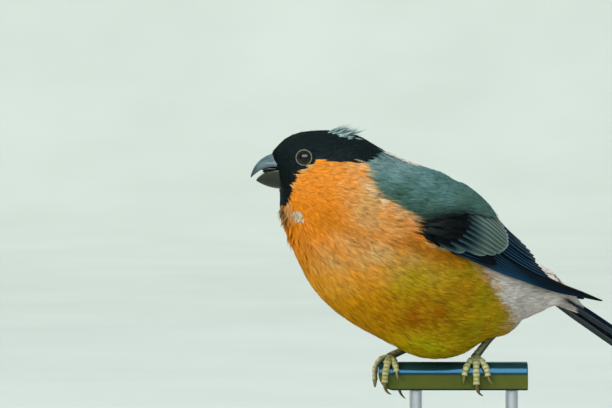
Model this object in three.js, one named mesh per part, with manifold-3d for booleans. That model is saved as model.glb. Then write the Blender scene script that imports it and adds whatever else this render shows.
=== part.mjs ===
// Life-size male bullfinch that grips a short bar, on a plain display stand.
// Millimetres, +Z up, origin at the middle of the stand's underside. The bar runs along X.
import * as THREE from "three";
import { mergeVertices } from "three/addons/utils/BufferGeometryUtils.js";
import Module from "manifold-3d";

const wasm = await Module();
wasm.setup();

const V = (x, y, z) => new THREE.Vector3(x, y, z);
const rad = THREE.MathUtils.degToRad;
const mix = THREE.MathUtils.lerp;
const smooth = THREE.MathUtils.smoothstep;

// Driving dimensions
const gap = 0.3; // between pieces that touch
const bodyYaw = 25; // degrees that the body is turned to the viewer, away from profile
const headTurn = 20; // degrees that the head is turned back to profile
const bodyPitch = 24; // degrees that the trunk's rear points down
const tailPitch = 32; // degrees that the tail points down
const trunkX = 8.8; // middle of the trunk ahead of the bar
const trunkZ = 36; // and above the bar's middle
const wingLength = 82;
const tailLength = 54; // what shows past the body
const eyeRadius = 2.9;
const eyeSink = 1.8; // depth of the eyeball's middle under the face
const lidRadius = 2.6;
const lidThick = 0.42;
const lidLift = 0.2; // height of the lids' ring over the face
const barHeight = 8.9;
const barWidth = 8;
const barLeft = -16.4;
const barRight = 31;
const baseLength = 112;
const baseWidth = 68;
const baseHeight = 8;
const rodHeight = 20;
const rodRadius = 2;
const rodPlaces = [-4.5, 26];
const barMiddle = baseHeight + rodHeight + barHeight / 2 + 2 * gap; // height of the bar's middle

// Ready solids and geometries

function solidOf(geometry) {
  const bare = geometry.index ? geometry.clone() : geometry;
  for (const extra of ["normal", "uv"]) bare.deleteAttribute(extra);
  const merged = mergeVertices(bare, 1e-4);
  const solid = new wasm.Manifold(
    new wasm.Mesh({
      numProp: 3,
      vertProperties: merged.attributes.position.array,
      triVerts: new Uint32Array(merged.index.array),
    }),
  );
  if (solid.volume() > 0) return solid;
  const turned = merged.index.array.slice();
  for (let i = 0; i < turned.length; i += 3) [turned[i], turned[i + 1]] = [turned[i + 1], turned[i]];
  return new wasm.Manifold(
    new wasm.Mesh({
      numProp: 3,
      vertProperties: merged.attributes.position.array,
      triVerts: new Uint32Array(turned),
    }),
  );
}

function geometryOf(solid) {
  const mesh = solid.getMesh();
  const places = new Float32Array(mesh.numVert * 3);
  for (let i = 0; i < mesh.numVert; i++)
    for (let k = 0; k < 3; k++) places[3 * i + k] = mesh.vertProperties[mesh.numProp * i + k];
  const geometry = new THREE.BufferGeometry();
  geometry.setAttribute("position", new THREE.BufferAttribute(places, 3));
  geometry.setIndex(new THREE.BufferAttribute(mesh.triVerts, 1));
  geometry.computeVertexNormals();
  return geometry;
}

// The largest closed surface of a solid, which drops loose scraps.
function largest(solid) {
  const parts = solid.decompose();
  return parts.reduce((a, b) => (b.volume() > a.volume() ? b : a));
}

function joined(solids) {
  return solids.reduce((a, b) => a.add(b));
}

// A closed cylinder whose rings are moved to at(along 0..1, angle): angle 0 is the top, a quarter turn is left.
function loft(rows, sides, at) {
  const geometry = new THREE.CylinderGeometry(1, 1, 1, sides, rows);
  const place = geometry.attributes.position;
  const middles = [0, 1].map((end) => {
    const sum = V(0, 0, 0);
    for (let i = 0; i < sides; i++) sum.add(at(end, (2 * Math.PI * i) / sides));
    return sum.divideScalar(sides);
  });
  for (let i = 0; i < place.count; i++) {
    const x = place.getX(i);
    const z = place.getZ(i);
    const along = Math.round((place.getY(i) + 0.5) * rows) / rows;
    const turn = Math.round((Math.atan2(x, z) / (2 * Math.PI)) * sides + sides) % sides;
    const point = Math.hypot(x, z) < 0.5 ? middles[Math.round(along)] : at(along, (2 * Math.PI * turn) / sides);
    place.setXYZ(i, point.x, point.y, point.z);
  }
  return geometry;
}

// A round tube of changing radius along a curve.
function tube(curve, radiusAt, rows, sides) {
  const frames = curve.computeFrenetFrames(rows, false);
  return loft(rows, sides, (t, angle) => {
    const row = Math.round(t * rows);
    const r = radiusAt(t);
    return curve
      .getPointAt(t)
      .addScaledVector(frames.normals[row], r * Math.cos(angle))
      .addScaledVector(frames.binormals[row], r * Math.sin(angle));
  });
}

// A feather vane: a thin plate along a path, with both faces split alike.
// frameAt(t) gives its middle, its side and its outward direction; widthAt and thickAt its sizes.
function vane(rows, frameAt, widthAt, thickAt) {
  const points = [];
  const faces = [];
  for (let i = 0; i <= rows; i++) {
    const t = i / rows;
    const { middle, side, out } = frameAt(t);
    for (const [across, up] of [[-1, 1], [1, 1], [-1, -1], [1, -1]])
      points.push(
        middle
          .clone()
          .addScaledVector(side, (across * widthAt(t)) / 2)
          .addScaledVector(out, (up * thickAt(t)) / 2),
      );
  }
  const quad = (a, b, c, d) => faces.push(a, b, c, a, c, d);
  for (let i = 0; i < rows; i++) {
    const [a, b, c, d] = [0, 1, 2, 3].map((k) => 4 * i + k);
    quad(a, b, b + 4, a + 4);
    faces.push(c, d + 4, d, c, c + 4, d + 4);
    quad(c, a, a + 4, c + 4);
    quad(b, d, d + 4, b + 4);
  }
  quad(0, 2, 3, 1);
  const end = 4 * rows;
  quad(end, end + 1, end + 3, end + 2);
  const geometry = new THREE.BufferGeometry().setFromPoints(points);
  geometry.setIndex(faces);
  return geometry;
}

// The body: rings between an upper and a lower outline in the bird's middle plane.
// The bird faces +X here, with its left side at +Y and the bar's middle at the origin.
const stations = [
  // upper x, z, lower x, z, half width: from the face at the bill to the root of the tail
  [52.4, 71.2, 49.4, 59.8, 5.0],
  [49.0, 75.0, 49.5, 57.4, 8.3],
  [44.5, 77.3, 49.8, 54.4, 10.3],
  [38.5, 78.1, 49.6, 50.8, 12.2],
  [31.5, 78.0, 48.4, 46.8, 14.4],
  [24.5, 76.2, 46.2, 41.6, 17.0],
  [17.5, 71.8, 43.4, 35.2, 19.6],
  [9.5, 68.2, 39.2, 28.0, 21.8],
  [0.5, 65.8, 31.0, 20.2, 23.2],
  [-7.5, 62.0, 20.2, 14.0, 23.6],
  [-14.0, 55.0, 8.5, 8.4, 22.6],
  [-20.0, 47.2, -3.5, 6.4, 19.8],
  [-26.0, 41.4, -14.6, 9.2, 16.2],
  [-31.5, 37.9, -22.8, 15.2, 12.4],
  [-37.0, 35.4, -31.0, 21.0, 9.4],
  [-43.0, 33.0, -39.5, 23.8, 7.4],
];
const lastStation = stations.length - 1;
const upperLine = new THREE.CatmullRomCurve3(stations.map((s) => V(s[0], 0, s[1])));
const lowerLine = new THREE.CatmullRomCurve3(stations.map((s) => V(s[2], 0, s[3])));
const widthLine = new THREE.CatmullRomCurve3(stations.map((s, i) => V(i, s[4], 0)));
const neckPivot = V(24.3, 0, 0);
const headStation = 4.4; // the head ends here
const neckStation = 6.6; // and the neck here

// Turns a point about the neck by a share of the head's turn.
function turned(point, share) {
  return point
    .clone()
    .sub(neckPivot)
    .applyAxisAngle(V(0, 0, 1), -rad(headTurn) * share)
    .add(neckPivot);
}

function turnShare(station) {
  return 1 - smooth(station, headStation - 0.4, 8.5);
}

// A point of the body's surface at a station and an angle, swollen outwards by an amount.
function bodyPoint(station, angle, swell = 0) {
  const t = station / lastStation;
  const top = upperLine.getPoint(t);
  const low = lowerLine.getPoint(t);
  const half = widthLine.getPoint(t).y + swell;
  const up = top.clone().sub(low).normalize();
  const middle = top.clone().add(low).multiplyScalar(0.5);
  const tall = top.distanceTo(low) / 2 + swell;
  const point = middle.addScaledVector(up, tall * Math.cos(angle)).add(V(0, half * Math.sin(angle), 0));
  return turned(point, turnShare(station));
}

// Middle and forward direction of a ring.
function ringAt(station) {
  const [top, left, low, right] = [0, 1, 2, 3].map((k) => bodyPoint(station, (k * Math.PI) / 2));
  const middle = top.clone().add(low).multiplyScalar(0.5);
  const forward = left.clone().sub(right).cross(top.clone().sub(low)).normalize();
  return { middle, forward };
}

// Rows of the body's loft: closer together at the head.
const headRows = 12;
const trunkRows = 15;
function stationOfRow(row) {
  return row <= headRows
    ? (neckStation * row) / headRows
    : mix(neckStation, lastStation, (row - headRows) / trunkRows);
}

function bodyLoft(sides, swell = 0) {
  const rows = headRows + trunkRows;
  const end = ringAt(lastStation).forward.multiplyScalar(-swell);
  const face = ringAt(0).forward.multiplyScalar(swell);
  return loft(rows, sides, (t, angle) => {
    const point = bodyPoint(stationOfRow(Math.round(t * rows)), angle, swell);
    if (t === 0) point.add(face);
    return t === 1 ? point.add(end) : point;
  });
}

// A thin slab across the body at a station, which parts two pieces.
function parting(station) {
  const { middle, forward } = ringAt(station);
  const slab = new THREE.BoxGeometry(gap, 90, 90);
  slab.applyQuaternion(new THREE.Quaternion().setFromUnitVectors(V(1, 0, 0), forward));
  slab.translate(middle.x, middle.y, middle.z);
  return solidOf(slab);
}

const bodySides = 28;
const wholeBody = solidOf(bodyLoft(bodySides));
const grownBody = solidOf(bodyLoft(bodySides, gap));

// Where the head's own features go: a point of the straight head, turned with it.
const onHead = (x, y, z) => turned(V(x, y, z), 1);
const headAhead = V(1, 0, 0).applyAxisAngle(V(0, 0, 1), -rad(headTurn));

function eyePlace(side) {
  // the face's surface beside the eye, found by walking outwards
  const eyeX = 42.6;
  const eyeZ = 69.4;
  let best = null;
  for (let s = 0.5; s < 5; s += 0.02)
    for (let a = 0.5; a < 2.2; a += 0.02) {
      const p = turned(bodyPoint(s, a), -1);
      const miss = Math.hypot(p.x - eyeX, p.z - eyeZ);
      if (!best || miss < best.miss) best = { miss, s, a, y: p.y };
    }
  const here = bodyPoint(best.s, side * best.a);
  const ahead = bodyPoint(best.s - 0.1, side * best.a).sub(here);
  const round = bodyPoint(best.s, side * (best.a + 0.1)).sub(here);
  const out = ahead.cross(round).normalize();
  if (out.y * side < 0) out.negate();
  return { here, out };
}

function ball(radius, at, fine = 14) {
  return new THREE.SphereGeometry(radius, fine, Math.round(fine * 0.66)).translate(at.x, at.y, at.z);
}

const eyes = { left: eyePlace(1), right: eyePlace(-1) };
for (const eye of Object.values(eyes)) eye.middle = eye.here.clone().addScaledVector(eye.out, -eyeSink);

function buildHead(piece) {
  let head = piece;
  for (const eye of Object.values(eyes)) {
    const lid = new THREE.TorusGeometry(lidRadius, lidThick, 6, 18);
    lid.applyQuaternion(new THREE.Quaternion().setFromUnitVectors(V(0, 0, 1), eye.out));
    lid.translate(...eye.here.clone().addScaledVector(eye.out, lidLift).toArray());
    head = head.add(solidOf(lid)).subtract(solidOf(ball(eyeRadius + gap, eye.middle)));
  }
  return largest(head);
}

// Bill: two halves that part along the line of the mouth. Their bases stand off the face by the gap.
const billHalf = 4.1; // half width at the base
const culmen = new THREE.QuadraticBezierCurve3(V(52.6, 0, 70.9), V(58.0, 0, 69.2), V(59.3, 0, 63.6));
const upperEdge = new THREE.QuadraticBezierCurve3(V(51.1, 0, 65.3), V(55.4, 0, 65.6), V(58.9, 0, 63.5));
const lowerEdge = new THREE.QuadraticBezierCurve3(V(51.0, 0, 64.8), V(54.2, 0, 64.2), V(56.7, 0, 62.6));
const gonys = new THREE.QuadraticBezierCurve3(V(49.9, 0, 60.2), V(54.2, 0, 58.9), V(56.9, 0, 62.1));
const nostrilPlace = V(53.4, 2.6, 69.3);

function billHalfLoft(ridge, edge, tipHalf) {
  return loft(8, 12, (t, angle) => {
    const arch = Math.max(Math.cos(angle), 0); // 1 on the ridge, 0 on the flat between the cutting edges
    const half = mix(billHalf, tipHalf, t ** 1.4) * (1 - 0.12 * arch);
    const point = edge.getPoint(t).lerp(ridge.getPoint(t), arch ** 1.15);
    return onHead(point.x, half * Math.sin(angle), point.z);
  });
}

function buildUpperBill() {
  let bill = solidOf(billHalfLoft(culmen, upperEdge, 0.45));
  for (const side of [1, -1]) {
    const nostril = ball(0.45, onHead(nostrilPlace.x, side * nostrilPlace.y, nostrilPlace.z), 8);
    bill = bill.subtract(solidOf(nostril));
  }
  return largest(bill);
}

function buildLowerBill() {
  return solidOf(billHalfLoft(gonys, lowerEdge, 0.8));
}

// The trunk's own frame: x forward along the tail's line, z to the back.
function fromTrunk(x, y, z) {
  const c = Math.cos(rad(bodyPitch));
  const s = Math.sin(rad(bodyPitch));
  return V(trunkX + x * c - z * s, y, trunkZ + x * s + z * c);
}

// The folded wing lies on a rounded sheet around the trunk that narrows to the wing's tip.
const sheet = [
  // trunk x, half width, top, middle height
  [24, 20.5, 24.0, 5.0],
  [12, 23.2, 26.5, 5.3],
  [0, 24.2, 27.6, 5.8],
  [-12, 23.0, 25.8, 6.6],
  [-24, 18.4, 20.8, 7.8],
  [-36, 13.4, 18.2, 9.2],
  [-48, 9.8, 16.9, 10.4],
  [-60, 8.0, 17.2, 12.4],
  [-72, 7.0, 17.6, 14.0],
];
const sheetSpan = [sheet[0][0], sheet.at(-1)[0]];
const sheetSize = [1, 2, 3].map((k) => new THREE.CatmullRomCurve3(sheet.map((row, i) => V(i, row[k], 0))));

// A point of the sheet: the angle is in degrees from the back (0) round the left side to its lower edge (90).
function sheetPoint(x, angle, lift) {
  const t = THREE.MathUtils.clamp((x - sheetSpan[0]) / (sheetSpan[1] - sheetSpan[0]), 0, 1);
  const [half, top, middle] = sheetSize.map((curve) => curve.getPoint(t).y);
  const a = rad(angle);
  return fromTrunk(x, (half + lift) * Math.sin(a), middle + (top - middle + lift) * Math.cos(a));
}

// A feather on the sheet, from root to tip, each given as [trunk x, angle, lift].
// It leans by a few degrees, so that its lower edge stands out over the next feather down.
function sheetVane(root, tip, { width, lean = 20, rows = 3, bulge = 0, tipShare = 0.35 }) {
  const at = (t, turn = 0) =>
    sheetPoint(
      mix(root[0], tip[0], t),
      mix(root[1], tip[1], t) + bulge * Math.sin(Math.PI * t) + turn,
      mix(root[2], tip[2], t),
    );
  const frameAt = (t) => {
    const ahead = at(Math.min(t + 0.02, 1)).sub(at(Math.max(t - 0.02, 0))).normalize();
    const round = at(t, 1).sub(at(t, -1)).normalize();
    const side = round.addScaledVector(ahead, -round.dot(ahead)).normalize();
    const out = side.clone().cross(ahead).normalize();
    side.multiplyScalar(Math.cos(rad(lean))).addScaledVector(out, Math.sin(rad(lean)));
    return { middle: at(t), side, out: side.clone().cross(ahead).normalize() };
  };
  const widthAt = (t) => {
    const near = mix(0.55, 1, smooth(t, 0, 0.35));
    const far = 1 - (1 - tipShare) * smooth(t, 0.72, 1) ** 1.5;
    return width * near * far;
  };
  const thickAt = (t) => vaneThick * (t === 1 ? 0.7 : 1);
  return solidOf(vane(rows, frameAt, widthAt, thickAt));
}

const vaneThick = 0.6;
const primaryCount = 7;
const secondaryCount = 5;
const tertialCount = 3;
const greaterCount = 7;
const wingFront = 15; // the bend of the wing, in the trunk's frame
const wingTip = wingFront - wingLength;

// A low dome on the sheet, from the bend of the wing to the roots of the greater coverts.
function wingPad() {
  return loft(8, 12, (t, angle) => {
    const round = Math.sin(Math.PI * mix(0.06, 0.8, t)) ** 0.6;
    const high = Math.cos(angle);
    const spread = mix(57, 54, t) + 33 * round * Math.sin(angle);
    const lift = 0.4 + (high > 0 ? 2.1 * high * round : 2.4 * high);
    return sheetPoint(mix(wingFront, -5, t), spread, lift);
  });
}

// Feathers in a row: at(k) gives root, tip and shape, with k from 0 for the uppermost to 1.
function featherRow(count, at) {
  return Array.from({ length: count }, (_, i) => sheetVane(...at(i / (count - 1))));
}

function buildWing(side) {
  const primaries = featherRow(primaryCount, (k) => [
    [-2, mix(74, 87, k), 0.6],
    [mix(-38, wingTip, k ** 0.75), mix(70, 58, k), mix(0.4, 0.2, k)],
    { width: 4.4, rows: 4, bulge: 6, tipShare: 0.4 },
  ]);
  const secondaries = featherRow(secondaryCount, (k) => [
    [-2, mix(44, 70, k), 1.0],
    [mix(-33, -39, k), mix(46, 70, k), 0.8],
    { width: 4.6 },
  ]);
  const tertials = featherRow(tertialCount, (k) => [
    [-4, mix(14, 34, k), 1.6],
    [mix(-26, -33, k), mix(12, 34, k), 1.5],
    { width: 7, lean: 12 },
  ]);
  const greaterCoverts = featherRow(greaterCount, (k) => [
    [mix(1, 4, k), mix(30, 86, k), 2.3],
    [mix(-21, -6, k), mix(32, 84, k), 2.1],
    { width: mix(6, 4.6, k), lean: 14, tipShare: 0.6 },
  ]);
  const pieces = [solidOf(wingPad()), ...primaries, ...secondaries, ...tertials, ...greaterCoverts];
  const wing = largest(joined(pieces).subtract(grownBody));
  return side > 0 ? wing : wing.mirror([0, 1, 0]);
}

// The tail: a root that carries the coverts, and twelve feathers that fan a little.
const tailPairs = 6;
const tailWidth = 7.2; // of one feather
const tailStep = 0.45; // each pair lies this much under the one before
const tailRootLength = 12;

function buildTail() {
  const root = ringAt(lastStation);
  const back = V(-Math.cos(rad(tailPitch)), 0, -Math.sin(rad(tailPitch)));
  const up = V(-Math.sin(rad(tailPitch)), 0, Math.cos(rad(tailPitch)));
  const start = root.middle.clone().addScaledVector(root.forward, -gap);
  const place = (along, across, high) =>
    start.clone().addScaledVector(back, along).addScaledVector(up, high).add(V(0, across, 0));
  const flatVane = (rows, at, width) =>
    solidOf(
      vane(
        rows,
        (t) => ({ middle: at(t), side: V(0, 1, 0), out: up }),
        (t) => width * mix(0.62, 1, smooth(t, 0, 0.6)) * (t === 1 ? 0.5 : 1),
        () => vaneThick,
      ),
    );

  const pieces = [
    solidOf(
      loft(4, 14, (t, angle) => {
        const near = bodyPoint(lastStation, angle).addScaledVector(root.forward, -gap);
        return near.lerp(place(tailRootLength, 6.2 * Math.sin(angle), 1.9 * Math.cos(angle) - 0.6), t);
      }),
    ),
  ];
  for (let i = 0; i < tailPairs; i++)
    for (const side of [1, -1]) {
      const k = i / (tailPairs - 1); // 0 is the middle pair, 1 the outermost
      const length = tailLength - 3.2 * (1 - k) ** 1.5 - (k === 1 ? 1.2 : 0);
      const high = 0.4 - tailStep * (i + (side < 0 ? 0.5 : 0));
      const at = (t) => place(mix(3, length, t), side * (1 + i * mix(0.75, 1.2, t)), high);
      pieces.push(flatVane(4, at, tailWidth));
    }
  const coverts = (high, reach, width) => {
    for (const k of [-1, -0.5, 0, 0.5, 1]) {
      const at = (t) => place(mix(2, reach - 5 * Math.abs(k), t), k * mix(3.2, 5.0, t), high * mix(1, 0.5, t));
      pieces.push(flatVane(3, at, width));
    }
  };
  coverts(2.6, 20, 5);
  coverts(-4.2, 26, 5.4);
  return largest(joined(pieces));
}

// Legs and feet, laid out from the bar: x along it, y away from the viewer, z up.
const birdTurn = Math.PI + rad(bodyYaw);
const fromBar = (x, y, z) => V(x, y, z).applyAxisAngle(V(0, 0, 1), -birdTurn);
const archRadius = barWidth / 2;
const archMiddle = barHeight / 2 - archRadius;

// A line over the bar at a distance from it: reach is the length gone from the top, in front (1) or behind (-1).
function overBar(x, reach, way, off) {
  const r = archRadius + off;
  const quarter = (r * Math.PI) / 2;
  if (reach < quarter) return V(x, -way * r * Math.sin(reach / r), archMiddle + r * Math.cos(reach / r));
  return V(x, -way * r, archMiddle - (reach - quarter));
}

const feet = {
  // middle of the foot along the bar, its ankle and knee, the swelling of its thigh, and its toes from the hind one to the outer one:
  // the way each goes over the bar, its shift along the bar at the tip, its reach, and its claw
  left: {
    x: 14.6,
    ankle: [19.8, 1.8, 12.8],
    knee: [4.5, -9.5, 21],
    thigh: 9.6,
    toes: [
      { way: -1, shift: 0.8, reach: 10.5, radius: 1.0, claw: 5.2, clawSide: 0.5 },
      { way: 1, shift: -3.9, reach: 8.2, radius: 0.92, claw: 3.0, clawSide: 0.3 },
      { way: 1, shift: 0.0, reach: 11.2, radius: 1.02, claw: 4.4, clawSide: 2.2 },
      { way: 1, shift: 3.7, reach: 8.4, radius: 0.92, claw: 3.0, clawSide: 1.2 },
    ],
  },
  right: {
    x: -12.6,
    ankle: [-3.5, 6.5, 9.8],
    knee: [-13, 9, 21.5],
    thigh: 8.6,
    toes: [
      { way: -1, shift: 2.4, reach: 11.0, radius: 1.0, claw: 6.2, clawSide: 2.0 },
      { way: 1, shift: 1.9, reach: 7.0, radius: 0.9, claw: 3.4, clawSide: 0.4 },
      { way: 1, shift: -1.9, reach: 10.6, radius: 1.02, claw: 4.6, clawSide: 2.4 },
      { way: 0, shift: -5.0, reach: 7.0, radius: 0.92, claw: 3.0, clawSide: 0 },
    ],
  },
};

const padOff = gap + 1.1; // height of the foot's middle over the bar

function toeCurve(foot, toe) {
  const off = gap + toe.radius * 0.9;
  const points = [];
  if (toe.way === 0) {
    // this toe goes over the bar's end
    const side = barLeft - off;
    points.push(V(foot.x, 0, archMiddle + archRadius + padOff));
    points.push(V(barLeft + 1.2, -0.9, archMiddle + archRadius + off));
    points.push(V(side + 0.3, -1.6, archMiddle + archRadius - 1.2));
    points.push(V(side, -2.0, archMiddle + 0.6));
    points.push(V(side, -2.1, archMiddle - 1.6));
  } else {
    const steps = 5;
    for (let i = 0; i <= steps; i++) {
      const t = i / steps;
      const near = i === 0 ? padOff : off;
      points.push(overBar(foot.x + toe.shift * Math.sin(t * 1.4), mix(0, toe.reach, t), toe.way, near));
    }
  }
  return new THREE.CatmullRomCurve3(points.map((p) => fromBar(p.x, p.y, p.z)));
}

function clawCurve(foot, toe) {
  const curve = toeCurve(foot, toe);
  const tip = curve.getPoint(1);
  const ahead = curve.getTangent(1);
  const side = fromBar(1, 0, 0);
  const inward = fromBar(0, toe.way === 0 ? -0.1 : toe.way, 0);
  const start = tip.clone().addScaledVector(ahead, gap);
  const bend = start.clone().addScaledVector(ahead, toe.claw * 0.62);
  const end = bend
    .clone()
    .addScaledVector(ahead, toe.claw * 0.2)
    .addScaledVector(inward, toe.reach > 9.5 ? toe.claw * 0.45 : 0)
    .addScaledVector(side, toe.clawSide);
  return new THREE.QuadraticBezierCurve3(start, bend, end);
}

function barSolid(grow) {
  const half = archRadius + grow;
  const section = new THREE.Shape();
  section.moveTo(-half, -barHeight / 2 - grow);
  section.lineTo(half, -barHeight / 2 - grow);
  section.lineTo(half, archMiddle);
  section.absarc(0, archMiddle, half, 0, Math.PI, false);
  section.closePath();
  const length = barRight - barLeft + 2 * grow;
  const along = new THREE.ExtrudeGeometry(section, { depth: length, bevelEnabled: false, curveSegments: 16 });
  along.rotateX(Math.PI / 2).rotateZ(Math.PI / 2);
  along.translate(barLeft - grow, 0, 0);
  const corner = 5;
  const side = new THREE.Shape();
  const low = -barHeight / 2 - grow;
  side.moveTo(barLeft - grow, barHeight);
  side.lineTo(barLeft - grow, low + corner);
  side.absarc(barLeft - grow + corner, low + corner, corner, Math.PI, Math.PI * 1.5, false);
  side.lineTo(barRight + grow + 1, low);
  side.lineTo(barRight + grow + 1, barHeight);
  side.closePath();
  const across = new THREE.ExtrudeGeometry(side, { depth: 4 * barWidth, bevelEnabled: false, curveSegments: 6 });
  across.rotateX(Math.PI / 2).translate(0, 2 * barWidth, 0);
  return solidOf(along).intersect(solidOf(across));
}

// The same solid, turned from the bar's directions to the bird's.
function toBird(solid) {
  return solid.rotate([0, 0, -THREE.MathUtils.radToDeg(birdTurn)]);
}

function toeSolids(foot, grow) {
  return foot.toes.map((toe) =>
    solidOf(tube(toeCurve(foot, toe), (t) => toe.radius * mix(1.08, 0.86, t) + grow, 7, 6)),
  );
}

function padSolid(foot, grow) {
  return solidOf(ball(1.45 + grow, fromBar(foot.x, 0.2, archMiddle + archRadius + padOff + 0.1), 10));
}

const bar = barSolid(0);
const grownBar = toBird(barSolid(gap));

function buildFoot(foot) {
  return largest(joined([...toeSolids(foot, 0), padSolid(foot, 0)]).subtract(grownBar));
}

function shankSolid(foot, grow) {
  const heel = fromBar(foot.x, 0.4, archMiddle + archRadius + padOff + 0.4);
  const ankle = fromBar(...foot.ankle);
  const curve = new THREE.LineCurve3(heel, ankle);
  return solidOf(tube(curve, (t) => mix(1.05, 1.0, Math.sin(Math.PI * t)) + 0.25 * t ** 4 + grow, 4, 8));
}

function buildShank(foot) {
  const grownFoot = joined([...toeSolids(foot, gap), padSolid(foot, gap)]);
  return largest(shankSolid(foot, 0).subtract(grownFoot).subtract(grownBar).subtract(grownBody));
}

// The feathered swelling from the flank to the ankle.
function buildThigh(foot) {
  const ankle = fromBar(...foot.ankle);
  const knee = fromBar(...foot.knee);
  const curve = new THREE.LineCurve3(knee, knee.clone().lerp(ankle, 1.08));
  const swelling = (t) => foot.thigh * Math.sin(Math.PI * mix(0.04, 0.6, t)) ** 0.6 * Math.sqrt(1 - t);
  const thigh = solidOf(tube(curve, (t) => swelling(t) + 1.9 * t, 8, 14));
  return largest(thigh.subtract(grownBody).subtract(shankSolid(foot, gap)));
}

// Display stand
function buildBase() {
  const corner = 14;
  const x = baseLength / 2;
  const y = baseWidth / 2;
  const outline = new THREE.Shape();
  outline.moveTo(-x + corner, -y);
  outline.lineTo(x - corner, -y);
  outline.absarc(x - corner, -y + corner, corner, -Math.PI / 2, 0, false);
  outline.lineTo(x, y - corner);
  outline.absarc(x - corner, y - corner, corner, 0, Math.PI / 2, false);
  outline.lineTo(-x + corner, y);
  outline.absarc(-x + corner, y - corner, corner, Math.PI / 2, Math.PI, false);
  outline.lineTo(-x, -y + corner);
  outline.absarc(-x + corner, -y + corner, corner, Math.PI, Math.PI * 1.5, false);
  return new THREE.ExtrudeGeometry(outline, { depth: baseHeight, bevelEnabled: false, curveSegments: 6 });
}

function buildRod(x) {
  const rod = new THREE.CylinderGeometry(rodRadius, rodRadius, rodHeight, 16);
  return rod.rotateX(Math.PI / 2).translate(x, 0, baseHeight + gap + rodHeight / 2);
}

// Colours and finishes
const finish = (colour, roughness, metalness = 0) =>
  new THREE.MeshStandardMaterial({ color: colour, roughness, metalness });
const finishes = {
  cap: () => finish(0x101114, 0.55),
  neck: () => finish(0x5b6a70, 0.85),
  breast: () => finish(0xd9741f, 0.9),
  wing: () => finish(0x14171c, 0.5),
  bill: () => finish(0x22282a, 0.35),
  eye: () => finish(0x0b0807, 0.05),
  leg: () => finish(0x7a6250, 0.6),
  claw: () => finish(0x4c4436, 0.45),
  bar: () => finish(0x15190f, 0.15),
  base: () => finish(0x3a2c22, 0.45),
  rod: () => finish(0x9a9c9e, 0.3, 1),
};

function add(group, name, geometry, material) {
  const mesh = new THREE.Mesh(geometry, material);
  mesh.name = name;
  group.add(mesh);
  return mesh;
}

const model = new THREE.Group();
const bird = new THREE.Group();
bird.rotation.z = birdTurn;
bird.position.z = barMiddle;
model.add(bird);

const [headPiece, neckPiece, torsoPiece] = wholeBody
  .subtract(parting(headStation))
  .subtract(parting(neckStation))
  .decompose()
  .sort((a, b) => b.boundingBox().max[0] + b.boundingBox().max[2] - a.boundingBox().max[0] - a.boundingBox().max[2]);

add(bird, "head", geometryOf(buildHead(headPiece)), finishes.cap());
add(bird, "neck", geometryOf(neckPiece), finishes.neck());
add(bird, "torso", geometryOf(torsoPiece), finishes.breast());
add(bird, "bill_upper", geometryOf(buildUpperBill()), finishes.bill());
add(bird, "bill_lower", geometryOf(buildLowerBill()), finishes.bill());
for (const [side, eye] of Object.entries(eyes))
  add(bird, "eye_" + side, geometryOf(solidOf(ball(eyeRadius, eye.middle))), finishes.eye());
add(bird, "wing_left", geometryOf(buildWing(1)), finishes.wing());
add(bird, "wing_right", geometryOf(buildWing(-1)), finishes.wing());
add(bird, "tail", geometryOf(buildTail()), finishes.wing());
for (const [side, foot] of Object.entries(feet)) {
  add(bird, "thigh_" + side, geometryOf(buildThigh(foot)), finishes.breast());
  add(bird, "shank_" + side, geometryOf(buildShank(foot)), finishes.leg());
  add(bird, "foot_" + side, geometryOf(buildFoot(foot)), finishes.leg());
  foot.toes.forEach((toe, i) => {
    const claw = solidOf(tube(clawCurve(foot, toe), (t) => mix(toe.radius * 0.62, 0.14, t), 5, 6));
    add(bird, "claw_" + side + "_" + (i + 1), geometryOf(claw.subtract(grownBar)), finishes.claw());
  });
}

const barMesh = add(model, "stand_perch", geometryOf(bar), finishes.bar());
barMesh.position.z = barMiddle;
add(model, "stand_base", buildBase(), finishes.base());
rodPlaces.forEach((x, i) => add(model, "stand_rod_" + (i + 1), buildRod(x), finishes.rod()));

export default model;
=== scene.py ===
# Life-size male bullfinch gripping a cut length of bar on a display stand.
# Sizes in the dictionaries are millimetres; Blender's own units are metres.
import math

import bpy
import numpy as np
from mathutils import Matrix, Vector
from mathutils.bvhtree import BVHTree
from mathutils.kdtree import KDTree


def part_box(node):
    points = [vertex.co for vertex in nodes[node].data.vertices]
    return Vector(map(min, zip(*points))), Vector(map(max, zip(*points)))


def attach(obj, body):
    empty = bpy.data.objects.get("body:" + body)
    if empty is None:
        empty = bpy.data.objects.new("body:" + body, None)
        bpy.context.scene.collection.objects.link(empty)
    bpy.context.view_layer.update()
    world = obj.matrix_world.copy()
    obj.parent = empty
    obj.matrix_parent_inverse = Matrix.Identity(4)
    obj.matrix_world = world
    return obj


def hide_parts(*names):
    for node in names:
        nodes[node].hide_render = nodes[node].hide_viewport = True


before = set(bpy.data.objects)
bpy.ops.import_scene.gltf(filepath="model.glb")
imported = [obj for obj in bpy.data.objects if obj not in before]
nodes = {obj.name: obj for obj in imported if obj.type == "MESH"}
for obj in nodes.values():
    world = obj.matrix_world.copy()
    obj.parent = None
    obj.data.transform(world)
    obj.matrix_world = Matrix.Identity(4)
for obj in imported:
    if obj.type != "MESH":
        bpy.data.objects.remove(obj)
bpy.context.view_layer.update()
mm = 0.001
chance = np.random.default_rng(20)
print("frame loaded:", len(nodes), "nodes")

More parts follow.
